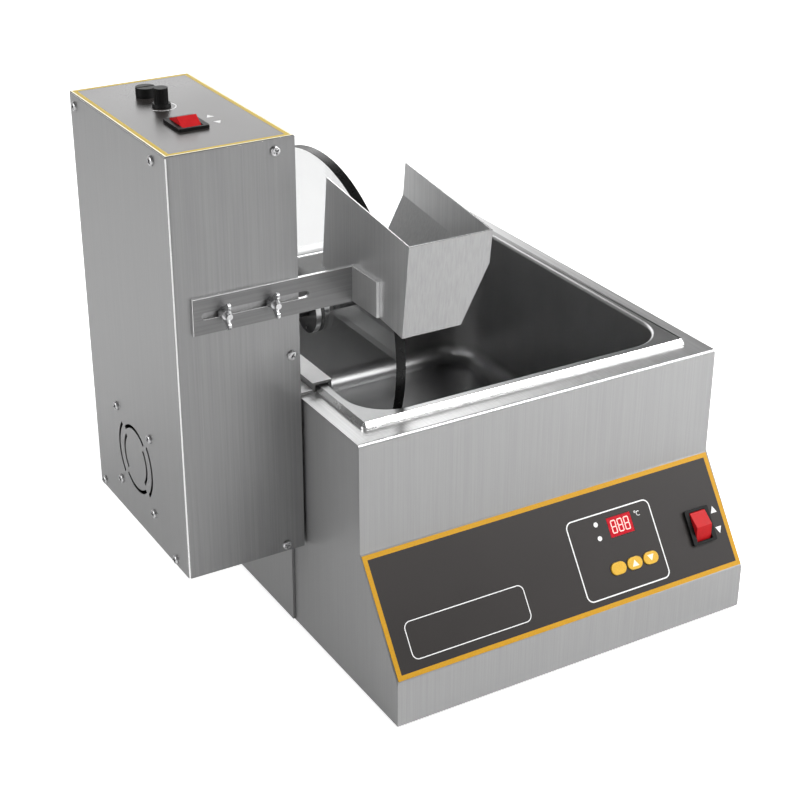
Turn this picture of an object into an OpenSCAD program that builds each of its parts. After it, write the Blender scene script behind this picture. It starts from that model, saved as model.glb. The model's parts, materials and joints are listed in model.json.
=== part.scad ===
// Chocolate melting tank with a clip-on wheel mixer.
// The tank is a sheet housing with a drop-in steel pan over a dry heating box.
// The mixer hangs on the left wall and turns a clear wheel through the pan and a scraper hopper.

/* [Tank housing] */
// Width of the tank housing
tank_w = 356; // [350:1:380]
// Depth of the housing at its top plate
top_d = 396; // [386:1:430]
// Height of the housing above its skirt's lower edge
tank_h = 229.5; // [224:0.5:260]
// How far the control panel leans out past the top front edge
nose_d = 61; // [50:1:75]
// Height of the control panel's upper bend above the skirt's lower edge
bend_hi = 129.5; // [124:0.5:140]
// Height of the control panel's lower bend above the skirt's lower edge
bend_lo = 42.5; // [36:0.5:50]
// Thickness of the housing sheet
sheet_t = 1.5; // [1:0.1:2]
// Outer radius of the top plate's front bend
brow_r = 3; // [2.5:0.5:5]

/* [Feet and base] */
// Height of the skirt above the floor
foot_h = 2; // [1:0.5:6]
// Radius of a rubber foot
foot_r = 12; // [8:1:16]
// Distance of a foot's centre from the housing's sides
foot_inset = 30; // [22:1:50]
// Height of the base plate above the skirt's lower edge
base_up = 6; // [4:1:12]

/* [Pan] */
// Margin between the housing's sides and the pan's rim
pan_side = 15.5; // [12:0.5:20]
// Margin between the housing's front or back and the pan's rim
pan_front = 21; // [16:0.5:26]
// Width of the rim from its skirt to the wall of the bowl
rim_w = 10.5; // [8:0.5:14]
// Height of the rim above the top plate
rim_h = 5; // [3:0.5:7]
// Thickness of the pan's sheet
pan_t = 1; // [0.8:0.1:1.5]
// Depth of the pan from its rim to its underside
pan_depth = 150; // [100:1:152]
// Corner radius of the bowl
pan_corner = 38; // [35:1:60]
// Radius between the bowl's walls and floor
pan_fillet = 18; // [10:1:24]
// Corner radius of the rim's outline
rim_corner = 4; // [2:0.5:10]
// Radius between the rim and the bowl's walls
rim_r = 3; // [2:0.5:5]

/* [Heating] */
// Air gap between the pan and the heating box
box_gap = 4; // [2:0.5:6]
// Thickness of the heating box
box_t = 2; // [1.5:0.5:3]
// Margin of the heater plate inside the heating box's floor
heater_inset = 45; // [20:1:80]
// Thickness of the heater plate
heater_t = 5; // [3:0.5:8]
// Corner radius of the heater plate
heater_corner = 12; // [4:1:20]
// Length of a heater terminal
term_l = 12; // [8:1:14]
// Radius of a heater terminal
term_r = 3; // [2:0.5:4]
// Distance between the heater terminals
term_pitch = 40; // [24:1:60]
// Radius of the temperature probe
probe_r = 2.5; // [2:0.5:4]

/* [Control panel] */
// Distance of the display's centre from the housing's right side
disp_in = 110.3; // [100:0.1:140]
// Distance of the display's centre below the panel's upper bend
disp_v = 39.6; // [34:0.1:44]
// Width of the display window
disp_w = 25; // [20:1:32]
// Height of the display window
disp_h = 17.3; // [14:0.1:20]
// Distance of the middle key from the housing's right side
key_in = 108.1; // [98:0.1:140]
// Distance of the keys below the panel's upper bend
key_v = 74.7; // [70:0.1:78]
// Pitch of the keys
key_pitch = 17.3; // [17.2:0.1:20]
// Width of a key
key_w = 15.5; // [14:0.1:15.6]
// Height of a key
key_h = 10.8; // [8:0.1:11]
// How far a key stands out of the panel film
key_rise = 1.2; // [0.8:0.1:2]
// Travel of a key
key_travel = 0.8; // [0.5:0.1:1]
// Gap between the panel and the control board
board_gap = 12; // [11:0.5:16]
// Thickness of the printed films
film_t = 0.4; // [0.2:0.1:0.6]
// Margin of the printed films inside the sheet's edges
film_in = 1; // [0.5:0.5:4]

/* [Rocker switches] */
// Distance of the mains switch from the housing's right side
sw_in = 31.5; // [28:0.1:50]
// Distance of the mains switch below the panel's upper bend
sw_v = 61.8; // [50:0.1:66]
// Width of a switch's bezel
bezel_w = 25.7; // [25:0.1:28]
// Length of a switch's bezel
bezel_l = 32; // [31:0.5:36]
// Height of a switch's bezel
bezel_h = 2.6; // [1.5:0.1:3]
// Width of the switch body behind the sheet
body_w = 22; // [21:0.5:23]
// Length of the switch body behind the sheet
body_l = 29; // [28.8:0.1:30]
// Depth of the switch body behind the sheet
body_d = 20; // [18:1:26]
// Width of the rocker
rock_w = 16.5; // [15:0.5:18]
// Swing radius of the rocker
rock_r = 13.2; // [12:0.1:13.4]
// Full swing of the rocker between its two ends
rock_swing = 16; // [12:1:20]
// Slope of the rocker's two facets
rock_slope = 26; // [20:1:28]
// Height of the rocker's ends above the sheet, level
rock_eave = 1.9; // [1.5:0.1:2.5]
// Radius of the rocker's pivot pins
pin_r = 1.5; // [1:0.1:2]

/* [Mains inlets] */
// Thickness of an inlet's flange
inlet_t = 3; // [2:0.5:4]
// Distance of the tank's inlet from the housing's right side
inlet_x = 60; // [40:1:120]
// Height of the tank's inlet above the skirt's lower edge
inlet_z = 50; // [34:1:58]
// Width of an inlet's body behind its flange
inlet_bw = 27; // [24:0.5:30]
// Height of an inlet's body behind its flange
inlet_bh = 19.5; // [17:0.5:21]
// Depth of an inlet's body behind its flange
inlet_bd = 20; // [16:1:26]

/* [Mixer case] */
// Width of the mixer case
mixer_w = 107; // [100:0.5:120]
// Depth of the mixer case
mixer_d = 195.5; // [185:0.5:210]
// Height of the mixer case
mixer_h = 363.5; // [350:0.5:380]
// Distance of the mixer's front behind the tank's top front edge
mixer_y = 91.7; // [88:0.1:100]
// How far the mixer hangs down below the tank's top plate
mixer_drop = 137.7; // [134:0.1:150]
// Thickness of the mixer's sheet
cover_t = 1.2; // [1:0.1:1.5]
// Outer radius of the cover's bends
cover_r = 3; // [2.5:0.5:5]
// Height of the turned-in flanges of the case
lip_h = 14; // [13:0.5:20]
// Width of the right side's flanges behind the cover
side_lip = 20; // [18:1:30]
// Distance of the controls from the case's left side
ctl_x = 48.5; // [44:0.5:56]
// Distance of the fuse cap behind the case's front
fuse_y = 149; // [146:0.5:160]
// Distance of the speed knob behind the case's front
knob_y = 117; // [112:0.5:122]
// Distance of the mixer switch behind the case's front
mix_sw_y = 63.8; // [50:0.1:72]
// Distance of the mixer switch from the case's left side
mix_sw_x = 46; // [42:0.5:56]
// Radius of the fuse holder's body
fuse_r = 6; // [5.5:0.1:7]
// Radius of the speed control's threaded bushing
bush_r = 3.8; // [3.5:0.1:4.5]
// Height of the mixer's inlet above the case's underside
mix_inlet_z = 60; // [40:1:90]

/* [Case screws] */
// Radius of a screw head
head_r = 4; // [3:0.1:4.5]
// Height of a screw head
head_h = 2.2; // [1.5:0.1:3]
// Radius of a screw's shank
shank_r = 1.9; // [1.5:0.1:2]
// Length of a cover screw's shank
cover_screw_l = 6; // [4:0.5:8]
// Length of a fan screw's shank
fan_screw_l = 12; // [8:0.5:20]
// Height of the front's middle screw above the tank's top plate
mid_screw_up = 43.5; // [30:0.5:60]

/* [Cooling fan] */
// Side of the square fan frame
fan_s = 80; // [76:1:84]
// Depth of the fan frame
fan_d = 25; // [20:1:30]
// Pitch of the fan's screws
fan_pitch = 71.5; // [68:0.5:74]
// Radius of the fan's duct
duct_r = 38; // [35:0.5:38]
// Distance of the fan's centre behind the case's front
fan_y = 103.7; // [95:0.1:110]
// Height of the fan's centre above the case's underside
fan_z = 64; // [60:0.5:70]
// Radius of the fan's hub
fan_hub_r = 17; // [14:0.5:20]
// Number of fan blades
fan_blades = 7; // [5:1:9]
// Width of a vent slot
vent_w = 3.2; // [2.5:0.1:3.6]
// Mean radius of the outer vent ring
vent_r = 35; // [33:0.5:35]
// Step between the vent rings
vent_step = 5.75; // [5.5:0.25:6.5]
// Half of the angle that a vent slot spans
vent_half = 42; // [38:1:44]

/* [Hanger] */
// Thickness of the hanger's sheet
hang_t = 2.5; // [2:0.1:3]
// Height of the hook's top above the tank's top plate
hook_h = 9; // [8.5:0.1:12]
// How far the hook reaches down inside the pan
hook_lip = 18; // [10:1:30]
// Distance of the hook's ends from the case's front and back
hook_in = 8.5; // [6:0.5:20]
// Distance of the hanger plate's edges from the case's front and back
plate_in = 25.5; // [22:0.5:40]
// Height of the hanger plate's lower edge above the skirt's lower edge
plate_z = 2; // [2:1:40]
// Radius of a hanger bolt
bolt_r = 2.4; // [2:0.1:3]
// Radius of a hanger bolt's head
bolt_head_r = 4.5; // [4:0.1:6]
// Height of a hanger bolt's head
bolt_head_h = 3; // [2:0.5:4]
// Distance of the hanger bolts from the hanger plate's edges
bolt_in = 15; // [10:1:25]
// Distance of the hanger bolts from the case's underside and from the tank's top plate
bolt_up = 28; // [24:1:34]

/* [Wheel] */
// Radius of the mixing wheel
wheel_r = 141.3; // [130:0.1:142]
// Thickness of the mixing wheel
wheel_t = 9; // [6:0.5:11]
// Distance of the wheel's left face from the housing's left side
wheel_x = 62; // [60:0.5:66]
// Height of the wheel's axis above the tank's top plate
axis_up = 31.5; // [29:0.5:38]
// Radius of the wheel's shaft
shaft_r = 5; // [4:0.1:6]
// Length of the shaft past the wheel's right face
shaft_end = 38; // [24:1:44]
// Radius of the hub's flange and washer
hub_r = 20; // [16:0.5:24]
// Thickness of the hub's flange
hub_t = 5; // [3:0.5:6]
// Thickness of the hub's washer
washer_t = 3.5; // [2:0.5:5]
// Radius of the hub's nut
nut_r = 9; // [7.5:0.5:11]
// Length of the hub's nut
nut_l = 7; // [5:0.5:10]

/* [Gear motor] */
// Radius of the gearbox
gear_r = 32; // [26:1:36]
// Length of the gearbox
gear_l = 36; // [30:1:42]
// Radius of the motor
motor_r = 28; // [22:1:30]
// Length of the motor
motor_l = 44; // [36:1:48]
// Depth of the shaft in the gearbox
gear_bore = 22; // [15:1:26]
// Radius of the shaft bush in the case's side
bush_out_r = 10; // [8:0.5:12]
// Radius of the shaft bush's flange
bush_flange_r = 13; // [12.5:0.5:16]
// Thickness of the shaft bush's flange
bush_flange_t = 3; // [2:0.5:4]
// Width of the drive board
drive_w = 70; // [50:1:90]
// Height of the drive board
drive_h = 80; // [60:1:90]
// Gap between the gearbox and the drive board
drive_gap = 22; // [10:1:30]
// Height of the drive board's standoffs
drive_up = 8; // [5:1:12]

/* [Scraper] */
// Thickness of the scraper bracket
arm_t = 3; // [2:0.1:3.5]
// Height of the bracket's arm
arm_h = 30.5; // [24:0.5:32]
// Height of the arm's lower edge above the tank's top plate
arm_up = 80; // [79:0.5:88]
// Distance of the arm's end from the case's left side
arm_in = 14; // [10:0.5:17]
// How far the bracket's flange runs forward along the hopper
flange_l = 42; // [30:1:60]
// Distance of the bracket's flange from the housing's left side
flange_x = 44.3; // [43:0.1:46]
// Distance of the slot's left end from the arm's end
slot_in = 7.5; // [6:0.5:9]
// Length of the slot
slot_l = 93; // [88:1:95]
// Distance of the first stud from the case's left side
stud_x = 40; // [38:0.5:44]
// Distance between the studs
stud_pitch = 42; // [36:0.5:44]
// Radius of the studs
stud_r = 2.5; // [2:0.1:3]
// Length of the studs in front of the case
stud_l = 15; // [14:0.5:20]
// Radius of a wing nut's boss
wing_boss_r = 5; // [4.5:0.1:6]
// Height of a wing nut's boss
wing_boss_h = 6; // [5:0.5:8]
// Reach of a wing from the nut's axis
wing_reach = 8; // [7.5:0.5:12]

/* [Hopper] */
// Tilt of the hopper, its back end up
hop_tilt = 6.8; // [0:0.1:10]
// Distance of the hopper's front behind the tank's top front edge
hop_y = 5; // [0:0.5:10]
// Height of the hopper's front top edge above the tank's top plate
hop_rise = 154.5; // [150:0.5:160]
// Width of the hopper's mouth
hop_w = 75.4; // [68:0.1:80]
// Length of the hopper
hop_l = 132; // [115:1:140]
// Height of the hopper
hop_h = 80; // [72:1:84]
// Height of the right wall's upright part
hop_up = 29; // [20:1:36]
// How far the right wall slants in below its upright part
hop_slant = 21.6; // [16:0.1:24]
// Thickness of the hopper's sheet
hop_t = 1.5; // [1:0.1:2]

/* [Clearances] */
// Gap between pieces that rest on or slide along each other
seat_gap = 0.2; // [0.1:0.05:0.4]
// Gap around pieces that move in an opening
play = 0.3; // [0.2:0.05:0.4]
// Radial clearance of a shaft or pin in its bearing
run_gap = 0.05; // [0.03:0.01:0.08]
// Gap between the hook and the pan's wall
hook_gap = 0.6; // [0.4:0.1:1]

/* [Hidden] */
$fn = 64;

// The origin is the middle of the whole footprint, on the floor
x_l = (mixer_w + hang_t + seat_gap + head_h - tank_w) / 2;
x_r = x_l + tank_w;
x_mid = x_l + tank_w / 2;
y_b = (top_d + nose_d - inlet_t) / 2;
y_f = y_b - top_d;
y_n = y_f - nose_d;
y_mid = y_f + top_d / 2;
z_t = foot_h + tank_h;
z_hi = foot_h + bend_hi;
z_lo = foot_h + bend_lo;
z_base = foot_h + base_up;
lean = atan(nose_d / (bend_hi - bend_lo));
bend_k = sheet_t * tan(lean / 2);
panel_l = norm([nose_d, bend_hi - bend_lo]);

// Pan and heating box
pan_w = tank_w - 2 * pan_side;
pan_d = top_d - 2 * pan_front;
bowl_w = pan_w - 2 * rim_w;
bowl_d = pan_d - 2 * rim_w;
rim_lap = 2 * pan_t;
z_rim = z_t + seat_gap + rim_h;
z_bowl = z_rim - pan_depth;
box_w = bowl_w + 2 * (box_gap + box_t);
box_d = bowl_d + 2 * (box_gap + box_t);
box_r = pan_corner + box_gap + box_t;
z_box = z_bowl - box_gap - box_t;
probe_block = 4 * probe_r;

// Control panel, its places from the left
disp_x = tank_w - disp_in;
key_x = tank_w - key_in;
sw_x = tank_w - sw_in;
board_w = 84;
board_l = 62;
board_t = 1.6;
board_x = (disp_x + key_x) / 2;
board_v = (disp_v + key_v) / 2 + 2;
tact_h = 5.5;
key_lip = 0.5;

// Mixer case
mx_r = x_l - seat_gap - hang_t;
mx_l = mx_r - mixer_w;
my_f = y_f + mixer_y;
my_b = my_f + mixer_d;
mz_0 = z_t - mixer_drop;
mz_t = mz_0 + mixer_h;
ctl_px = mx_l + ctl_x;
fan_py = my_f + fan_y;
fan_pz = mz_0 + fan_z;
screw_in = 9.5;
foot_screw = 6;
side_ys = [my_f + 25.5, my_b - 13];
front_xs = [mx_r - 17, mx_r - 7.5];
mid_screw_z = z_t + mid_screw_up;

// Hanger
hook_x0 = x_l + pan_side - hook_gap - hang_t;
hook_x1 = x_l + pan_side + rim_w + pan_t + hook_gap + hang_t;

// Wheel
shaft_y = my_f + mixer_d / 2;
shaft_z = z_t + axis_up;
disc_x = x_l + wheel_x;
flange_in = mx_r - cover_t;

// Scraper
arm_y = my_f - seat_gap;
arm_z0 = z_t + arm_up;
slot_z = arm_z0 + arm_h / 2;
flange_px = x_l + flange_x;
hop_px = flange_px + arm_t;
hop_py = y_f + hop_y;
hop_pz = z_t + hop_rise;
stud_px = mx_l + stud_x;
wing_y = arm_y - arm_t - seat_gap;

// Rectangle with round corners, centred
module round_rect(w, d, r) {
    square([w - 2 * r, d], center = true);
    square([w, d - 2 * r], center = true);
    for (sx = [-1, 1], sy = [-1, 1])
        translate([sx * (w / 2 - r), sy * (d / 2 - r)]) circle(r);
}

// Slot outline with round ends, centred, long side along the first axis
module stadium(w, h) {
    square([w - h, h], center = true);
    for (s = [-1, 1])
        translate([s * (w - h) / 2, 0]) circle(d = h);
}

// Profile drawn in the side view, extruded to the right by len
module along_x(len) {
    rotate([90, 0, 90]) linear_extrude(len) children();
}

// Profile drawn in the front view, extruded to the back by len
module along_y(len) {
    translate([0, len, 0]) rotate([90, 0, 0]) linear_extrude(len) children();
}

// Box between two corners
module span(a, b) {
    translate(a) cube(b - a);
}

// Place on the leaning control panel, facing out, x from the left and v down the slope
module on_panel(x, v) {
    translate([x_l + x, y_f - v * sin(lean), z_hi - v * cos(lean)]) rotate([90 - lean, 0, 0]) children();
}

// Places of the three keys
module at_key(i) {
    on_panel(key_x + i * key_pitch, key_v) children();
}

// Front sheet with its leaning panel and skirt
module front_skin() {
    color("silver") difference() {
        translate([x_l, 0, 0]) along_x(tank_w) polygon([[y_n, foot_h], [y_n, z_lo], [y_f, z_hi],
            [y_f, z_t - brow_r], [y_f + sheet_t, z_t - brow_r], [y_f + sheet_t, z_hi - bend_k],
            [y_n + sheet_t, z_lo - bend_k], [y_n + sheet_t, foot_h]]);
        on_panel(disp_x, disp_v) cube([disp_w + 2 * play, disp_h + 2 * play, 6 * sheet_t], center = true);
        for (i = [-1, 0, 1])
            at_key(i) translate([0, 0, -3 * sheet_t]) linear_extrude(6 * sheet_t)
                stadium(key_w + 2 * play, key_h + 2 * play);
        on_panel(sw_x, sw_v) cube([body_w + 2 * play, body_l + 2 * play, 6 * sheet_t], center = true);
    }
}

// One side sheet, cut to the housing's side outline
module side_sheet() {
    along_x(sheet_t) polygon([[y_n + sheet_t, foot_h], [y_n + sheet_t, z_lo - bend_k],
        [y_f + sheet_t, z_hi - bend_k], [y_f + sheet_t, z_t - brow_r], [y_f + brow_r, z_t - sheet_t],
        [y_b - sheet_t, z_t - sheet_t], [y_b - sheet_t, foot_h]]);
}

module left_side() {
    color("silver") translate([x_l, 0, 0]) side_sheet();
}

module right_side() {
    color("silver") translate([x_r - sheet_t, 0, 0]) side_sheet();
}

// Top plate with its rolled front edge and the opening for the pan
module top_frame() {
    color("gainsboro") difference() {
        translate([x_l, 0, 0]) along_x(tank_w) {
            translate([y_f + brow_r, z_t - sheet_t]) square([top_d - brow_r, sheet_t]);
            translate([y_f + brow_r, z_t - brow_r]) intersection() {
                difference() {
                    circle(brow_r);
                    circle(brow_r - sheet_t);
                }
                translate([-brow_r, 0]) square(brow_r);
            }
        }
        translate([x_mid, y_mid, z_t - 2 * sheet_t]) linear_extrude(4 * sheet_t)
            round_rect(bowl_w + box_gap, bowl_d + box_gap, pan_corner + box_gap / 2);
    }
}

// Rear sheet with its cooling slots and the hole for the mains inlet
module rear_panel() {
    slots = 9;
    slot_h = 60;
    slot_pitch = 11;
    color("silver") difference() {
        span([x_l, y_b - sheet_t, foot_h], [x_r, y_b, z_t - sheet_t]);
        for (i = [0 : slots - 1])
            translate([x_l + 70 + i * slot_pitch, y_b + sheet_t, foot_h + inlet_z]) rotate([90, 90, 0])
                linear_extrude(3 * sheet_t) stadium(slot_h, 4);
        translate([x_r - inlet_x, y_b - 2 * sheet_t, foot_h + inlet_z]) along_y(4 * sheet_t)
            square([inlet_bw + play, inlet_bh + play], center = true);
    }
}

// Base plate inside the skirt
module base_plate() {
    color("silver")
        span([x_l + sheet_t, y_n + sheet_t, z_base], [x_r - sheet_t, y_b - sheet_t, z_base + sheet_t]);
}

// Four rubber feet under the base plate
module feet() {
    color("dimgray")
    for (x = [x_l + foot_inset, x_r - foot_inset], y = [y_n + foot_inset, y_b - foot_inset])
        translate([x, y, 0]) difference() {
            cylinder(h = z_base, r1 = foot_r - 2, r2 = foot_r);
            translate([0, 0, -1]) cylinder(h = z_base / 2 + 1, r = foot_r / 3);
        }
}

// Open heating box round the pan, hung from the top plate
module heat_box() {
    color("lightgray") translate([x_mid, y_mid, z_box]) difference() {
        linear_extrude(z_t - sheet_t - z_box) round_rect(box_w, box_d, box_r);
        translate([0, 0, box_t]) linear_extrude(z_t)
            round_rect(box_w - 2 * box_t, box_d - 2 * box_t, box_r - box_t);
    }
}

// Heater plate with its two terminals under the heating box
module heater_plate() {
    color("tan") {
        translate([x_mid, y_mid, z_box - heater_t]) linear_extrude(heater_t)
            round_rect(box_w - 2 * heater_inset, box_d - 2 * heater_inset, heater_corner);
        for (s = [-1, 1])
            translate([x_mid + s * term_pitch / 2, y_mid, z_box - heater_t - term_l])
                cylinder(h = term_l, r = term_r);
    }
}

// Temperature probe in its clamp on the front of the heating box
module temp_probe() {
    color("silver") translate([x_mid, y_mid - box_d / 2, z_box + 25]) {
        translate([-12, -probe_block, -probe_block / 2]) cube([24, probe_block, probe_block]);
        translate([-30, -probe_block / 2, 0]) rotate([0, 90, 0]) cylinder(h = 60, r = probe_r);
    }
}

// Control board on standoffs behind the panel, with its push switches
module control_board() {
    color("darkgreen") on_panel(board_x, board_v) translate([0, 0, -sheet_t - board_gap - board_t]) {
        translate([-board_w / 2, -board_l / 2, 0]) cube([board_w, board_l, board_t]);
        for (sx = [-1, 1], sy = [-1, 1])
            translate([sx * (board_w / 2 - 5), sy * (board_l / 2 - 5), board_t])
                cylinder(h = board_gap, r = 2.5);
        for (i = [-1, 0, 1])
            translate([key_x - board_x + i * key_pitch, board_v - key_v, board_t]) {
                translate([-3, -3, 0]) cube([6, 6, tact_h - 1.5]);
                cylinder(h = tact_h, r = 1.75);
            }
    }
}

// Digit module between the board and the window
module display_module() {
    color("dimgray") on_panel(disp_x, disp_v) translate([0, 0, -sheet_t - board_gap])
        linear_extrude(board_gap) square([disp_w, disp_h], center = true);
}

// Red window in the panel
module display_window() {
    color("darkred") on_panel(disp_x, disp_v) translate([0, 0, -sheet_t]) linear_extrude(sheet_t + film_t)
        square([disp_w, disp_h], center = true);
}

// Printed film on the leaning panel
module panel_film() {
    color("dimgray") difference() {
        on_panel(tank_w / 2, panel_l / 2) linear_extrude(film_t)
            square([tank_w - 2 * film_in, panel_l - 2 * film_in], center = true);
        on_panel(disp_x, disp_v) cube([disp_w + 2 * play, disp_h + 2 * play, 4 * film_t], center = true);
        for (i = [-1, 0, 1])
            at_key(i) translate([0, 0, -film_t]) linear_extrude(3 * film_t)
                stadium(key_w + 2 * play, key_h + 2 * play);
        on_panel(sw_x, sw_v) cube([body_w + 2 * play, body_l + 2 * play, 4 * film_t], center = true);
    }
}

// One key: cap, retaining lip behind the sheet and stem down to its push switch
module key(i) {
    lip_top = -sheet_t - seat_gap;
    lip_t = 1;
    stem_end = -sheet_t - board_gap + tact_h + key_travel + seat_gap;
    color("goldenrod") at_key(i) {
        translate([0, 0, lip_top - lip_t]) {
            linear_extrude(film_t + key_rise - lip_top + lip_t) stadium(key_w, key_h);
            linear_extrude(lip_t) stadium(key_w + 2 * key_lip, key_h + 2 * key_lip);
        }
        translate([0, 0, stem_end]) cylinder(h = lip_top - stem_end, r = 2);
    }
}

// Bezel and body of a rocker switch, its film face at height 0
module switch_case() {
    well = rock_r + play;
    difference() {
        union() {
            translate([0, 0, film_t]) linear_extrude(bezel_h) round_rect(bezel_w, bezel_l, 1.5);
            translate([-body_w / 2, -body_l / 2, -body_d]) cube([body_w, body_l, body_d + film_t]);
            for (y = [-8, 0, 8])
                translate([-3, y - 0.4, -body_d - 8]) cube([6, 0.8, 8]);
        }
        translate([-rock_w / 2 - play, -well, -well])
            cube([rock_w + 2 * play, 2 * well, 2 * well + bezel_h]);
        translate([-body_w / 2 - 1, 0, 0]) rotate([0, 90, 0]) cylinder(h = body_w + 2, r = pin_r + run_gap);
    }
}

// Rocker with its two sloping facets and pivot pins, swung to one end
module switch_rocker() {
    ridge = rock_eave + rock_r * tan(rock_slope);
    rotate([rock_swing / 2, 0, 0]) {
        translate([-rock_w / 2, 0, 0]) along_x(rock_w) intersection() {
            circle(rock_r);
            polygon([[-rock_r, -5], [rock_r, -5], [rock_r, rock_eave], [0, ridge], [-rock_r, rock_eave]]);
        }
        translate([-body_w / 2, 0, 0]) rotate([0, 90, 0]) cylinder(h = body_w, r = pin_r);
    }
}

module power_switch() {
    color("black") on_panel(sw_x, sw_v) switch_case();
}

module power_rocker() {
    color("red") on_panel(sw_x, sw_v) switch_rocker();
}

// Mains inlet facing the back, its flange seated on a rear face at height 0
module inlet() {
    wall = 1.5;
    difference() {
        union() {
            along_y(inlet_t) round_rect(48, 24, 4);
            translate([0, -inlet_bd, 0]) along_y(inlet_bd) square([inlet_bw, inlet_bh], center = true);
        }
        translate([0, wall - inlet_bd, 0]) along_y(inlet_bd + inlet_t)
            square([inlet_bw - 2 * wall, inlet_bh - 2 * wall], center = true);
    }
    for (p = [[-7, -2], [0, 2], [7, -2]])
        translate([p[0] - 1, wall - inlet_bd, p[1] - 2]) cube([2, inlet_bd - 3, 4]);
}

module power_inlet() {
    color("black") translate([x_r - inlet_x, y_b, foot_h + inlet_z]) inlet();
}

module key_set() {
    key(-1);
}

module key_up() {
    key(0);
}

module key_down() {
    key(1);
}

// Quarter of a bent sheet's section, its outside radius r, in one quadrant
module bend(r, sx, sy) {
    intersection() {
        difference() {
            circle(r);
            circle(r - pan_t);
        }
        translate([min(sx, 0) * r, min(sy, 0) * r]) square(r);
    }
}

// Floor, floor radius, wall and rolled rim of the bowl, drawn from a corner's centre outwards
module bowl_profile() {
    square([pan_corner - pan_fillet, pan_t]);
    translate([pan_corner - pan_fillet, pan_fillet]) bend(pan_fillet, 1, -1);
    translate([pan_corner - pan_t, pan_fillet]) square([pan_t, pan_depth - pan_fillet - rim_r]);
    translate([pan_corner - pan_t + rim_r, pan_depth - rim_r]) bend(rim_r, -1, 1);
    translate([pan_corner - pan_t + rim_r, pan_depth - pan_t]) square([rim_lap, pan_t]);
}

// Straight stretch of the bowl's wall, its outside facing right
module bowl_side(len) {
    translate([0, len / 2, 0]) rotate([90, 0, 0]) linear_extrude(len) bowl_profile();
}

// Deep pan: swept walls, a flat floor and a rim with a turned-down edge
module pan() {
    flat_w = bowl_w - 2 * pan_corner;
    flat_d = bowl_d - 2 * pan_corner;
    color("lightgray") translate([x_mid, y_mid, z_bowl]) {
        for (k = [0 : 3]) {
            w = k % 2 == 0 ? flat_w : flat_d;
            d = k % 2 == 0 ? flat_d : flat_w;
            rotate(90 * k) translate([w / 2, 0, 0]) bowl_side(d);
            rotate(90 * k) translate([w / 2, d / 2, 0]) rotate_extrude(angle = 90) bowl_profile();
        }
        linear_extrude(pan_t) square([flat_w, flat_d], center = true);
        translate([0, 0, pan_depth - rim_h]) difference() {
            linear_extrude(rim_h) round_rect(pan_w, pan_d, rim_corner);
            translate([0, 0, -pan_t]) linear_extrude(rim_h)
                round_rect(pan_w - 2 * pan_t, pan_d - 2 * pan_t, rim_corner - pan_t);
            translate([0, 0, -pan_t]) linear_extrude(rim_h + 2 * pan_t)
                round_rect(bowl_w + rim_lap + 2 * (rim_r - pan_t), bowl_d + rim_lap + 2 * (rim_r - pan_t),
                    pan_corner + rim_r - pan_t + rim_lap / 2);
        }
    }
}

// Outline of the mixer cover from above, inset by e and reaching past the right side by e
module cover_outline(e) {
    r = cover_r - e;
    translate([mx_l + cover_r, my_f + e]) square([mixer_w - cover_r + e, mixer_d - 2 * e]);
    translate([mx_l + e, my_f + cover_r]) square([cover_r, mixer_d - 2 * cover_r]);
    for (y = [my_f + cover_r, my_b - cover_r])
        translate([mx_l + cover_r, y]) circle(r);
}

// One arc slot of the fan's vent
module arc_slot(r, mid, half) {
    reach = 2 * r;
    intersection() {
        difference() {
            circle(r + vent_w / 2);
            circle(r - vent_w / 2);
        }
        polygon([[0, 0], [reach * cos(mid - half), reach * sin(mid - half)],
            [reach * cos(mid), reach * sin(mid)], [reach * cos(mid + half), reach * sin(mid + half)]]);
    }
}

// Places of the fan's four screws on the left face
module at_fan_screws() {
    for (sy = [-1, 1], sz = [-1, 1])
        translate([mx_l, fan_py + sy * fan_pitch / 2, fan_pz + sz * fan_pitch / 2]) rotate([0, -90, 0])
            children();
}

// Places of the cover's screws on its left and front faces
module at_cover_screws() {
    for (y = side_ys, z = [mz_0 + foot_screw, mz_t - screw_in])
        translate([mx_l, y, z]) rotate([0, -90, 0]) children();
    for (z = [mz_0 + foot_screw, mz_t - screw_in])
        translate([front_xs[0], my_f, z]) rotate([90, 0, 0]) children();
    translate([front_xs[1], my_f, mid_screw_z]) rotate([90, 0, 0]) children();
}

// Hole for a screw's shank, from outside the sheet inwards
module shank_hole() {
    translate([0, 0, -8]) cylinder(h = 10, r = shank_r + play);
}

// Cover bent round the front, left side and back of the mixer
module mixer_cover() {
    color("silver") difference() {
        translate([0, 0, mz_0]) linear_extrude(mixer_h - cover_t) difference() {
            cover_outline(0);
            cover_outline(cover_t);
        }
        translate([mx_l - 1, fan_py, fan_pz]) along_x(cover_t + 2) {
            for (i = [0 : 2], s = [0, 180])
                arc_slot(vent_r - i * vent_step, s + (i == 1 ? 90 : 0), vent_half);
        }
        at_fan_screws() shank_hole();
        at_cover_screws() shank_hole();
        translate([mx_l + mixer_w / 2, my_b - 3 * cover_t, mz_0 + mix_inlet_z]) along_y(6 * cover_t)
            square([inlet_bw + play, inlet_bh + play], center = true);
    }
}

// Outline inside the cover, up to the right side's inner face
module case_outline() {
    intersection() {
        cover_outline(cover_t);
        translate([mx_l, my_f]) square([mixer_w - cover_t, mixer_d]);
    }
}

// Flanges inside the cover at one end of the case
module case_lips() {
    difference() {
        linear_extrude(lip_h) case_outline();
        span([mx_l + 2 * cover_t, my_f + 2 * cover_t, -1], [mx_r, my_b - 2 * cover_t, lip_h + 1]);
    }
}

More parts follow.
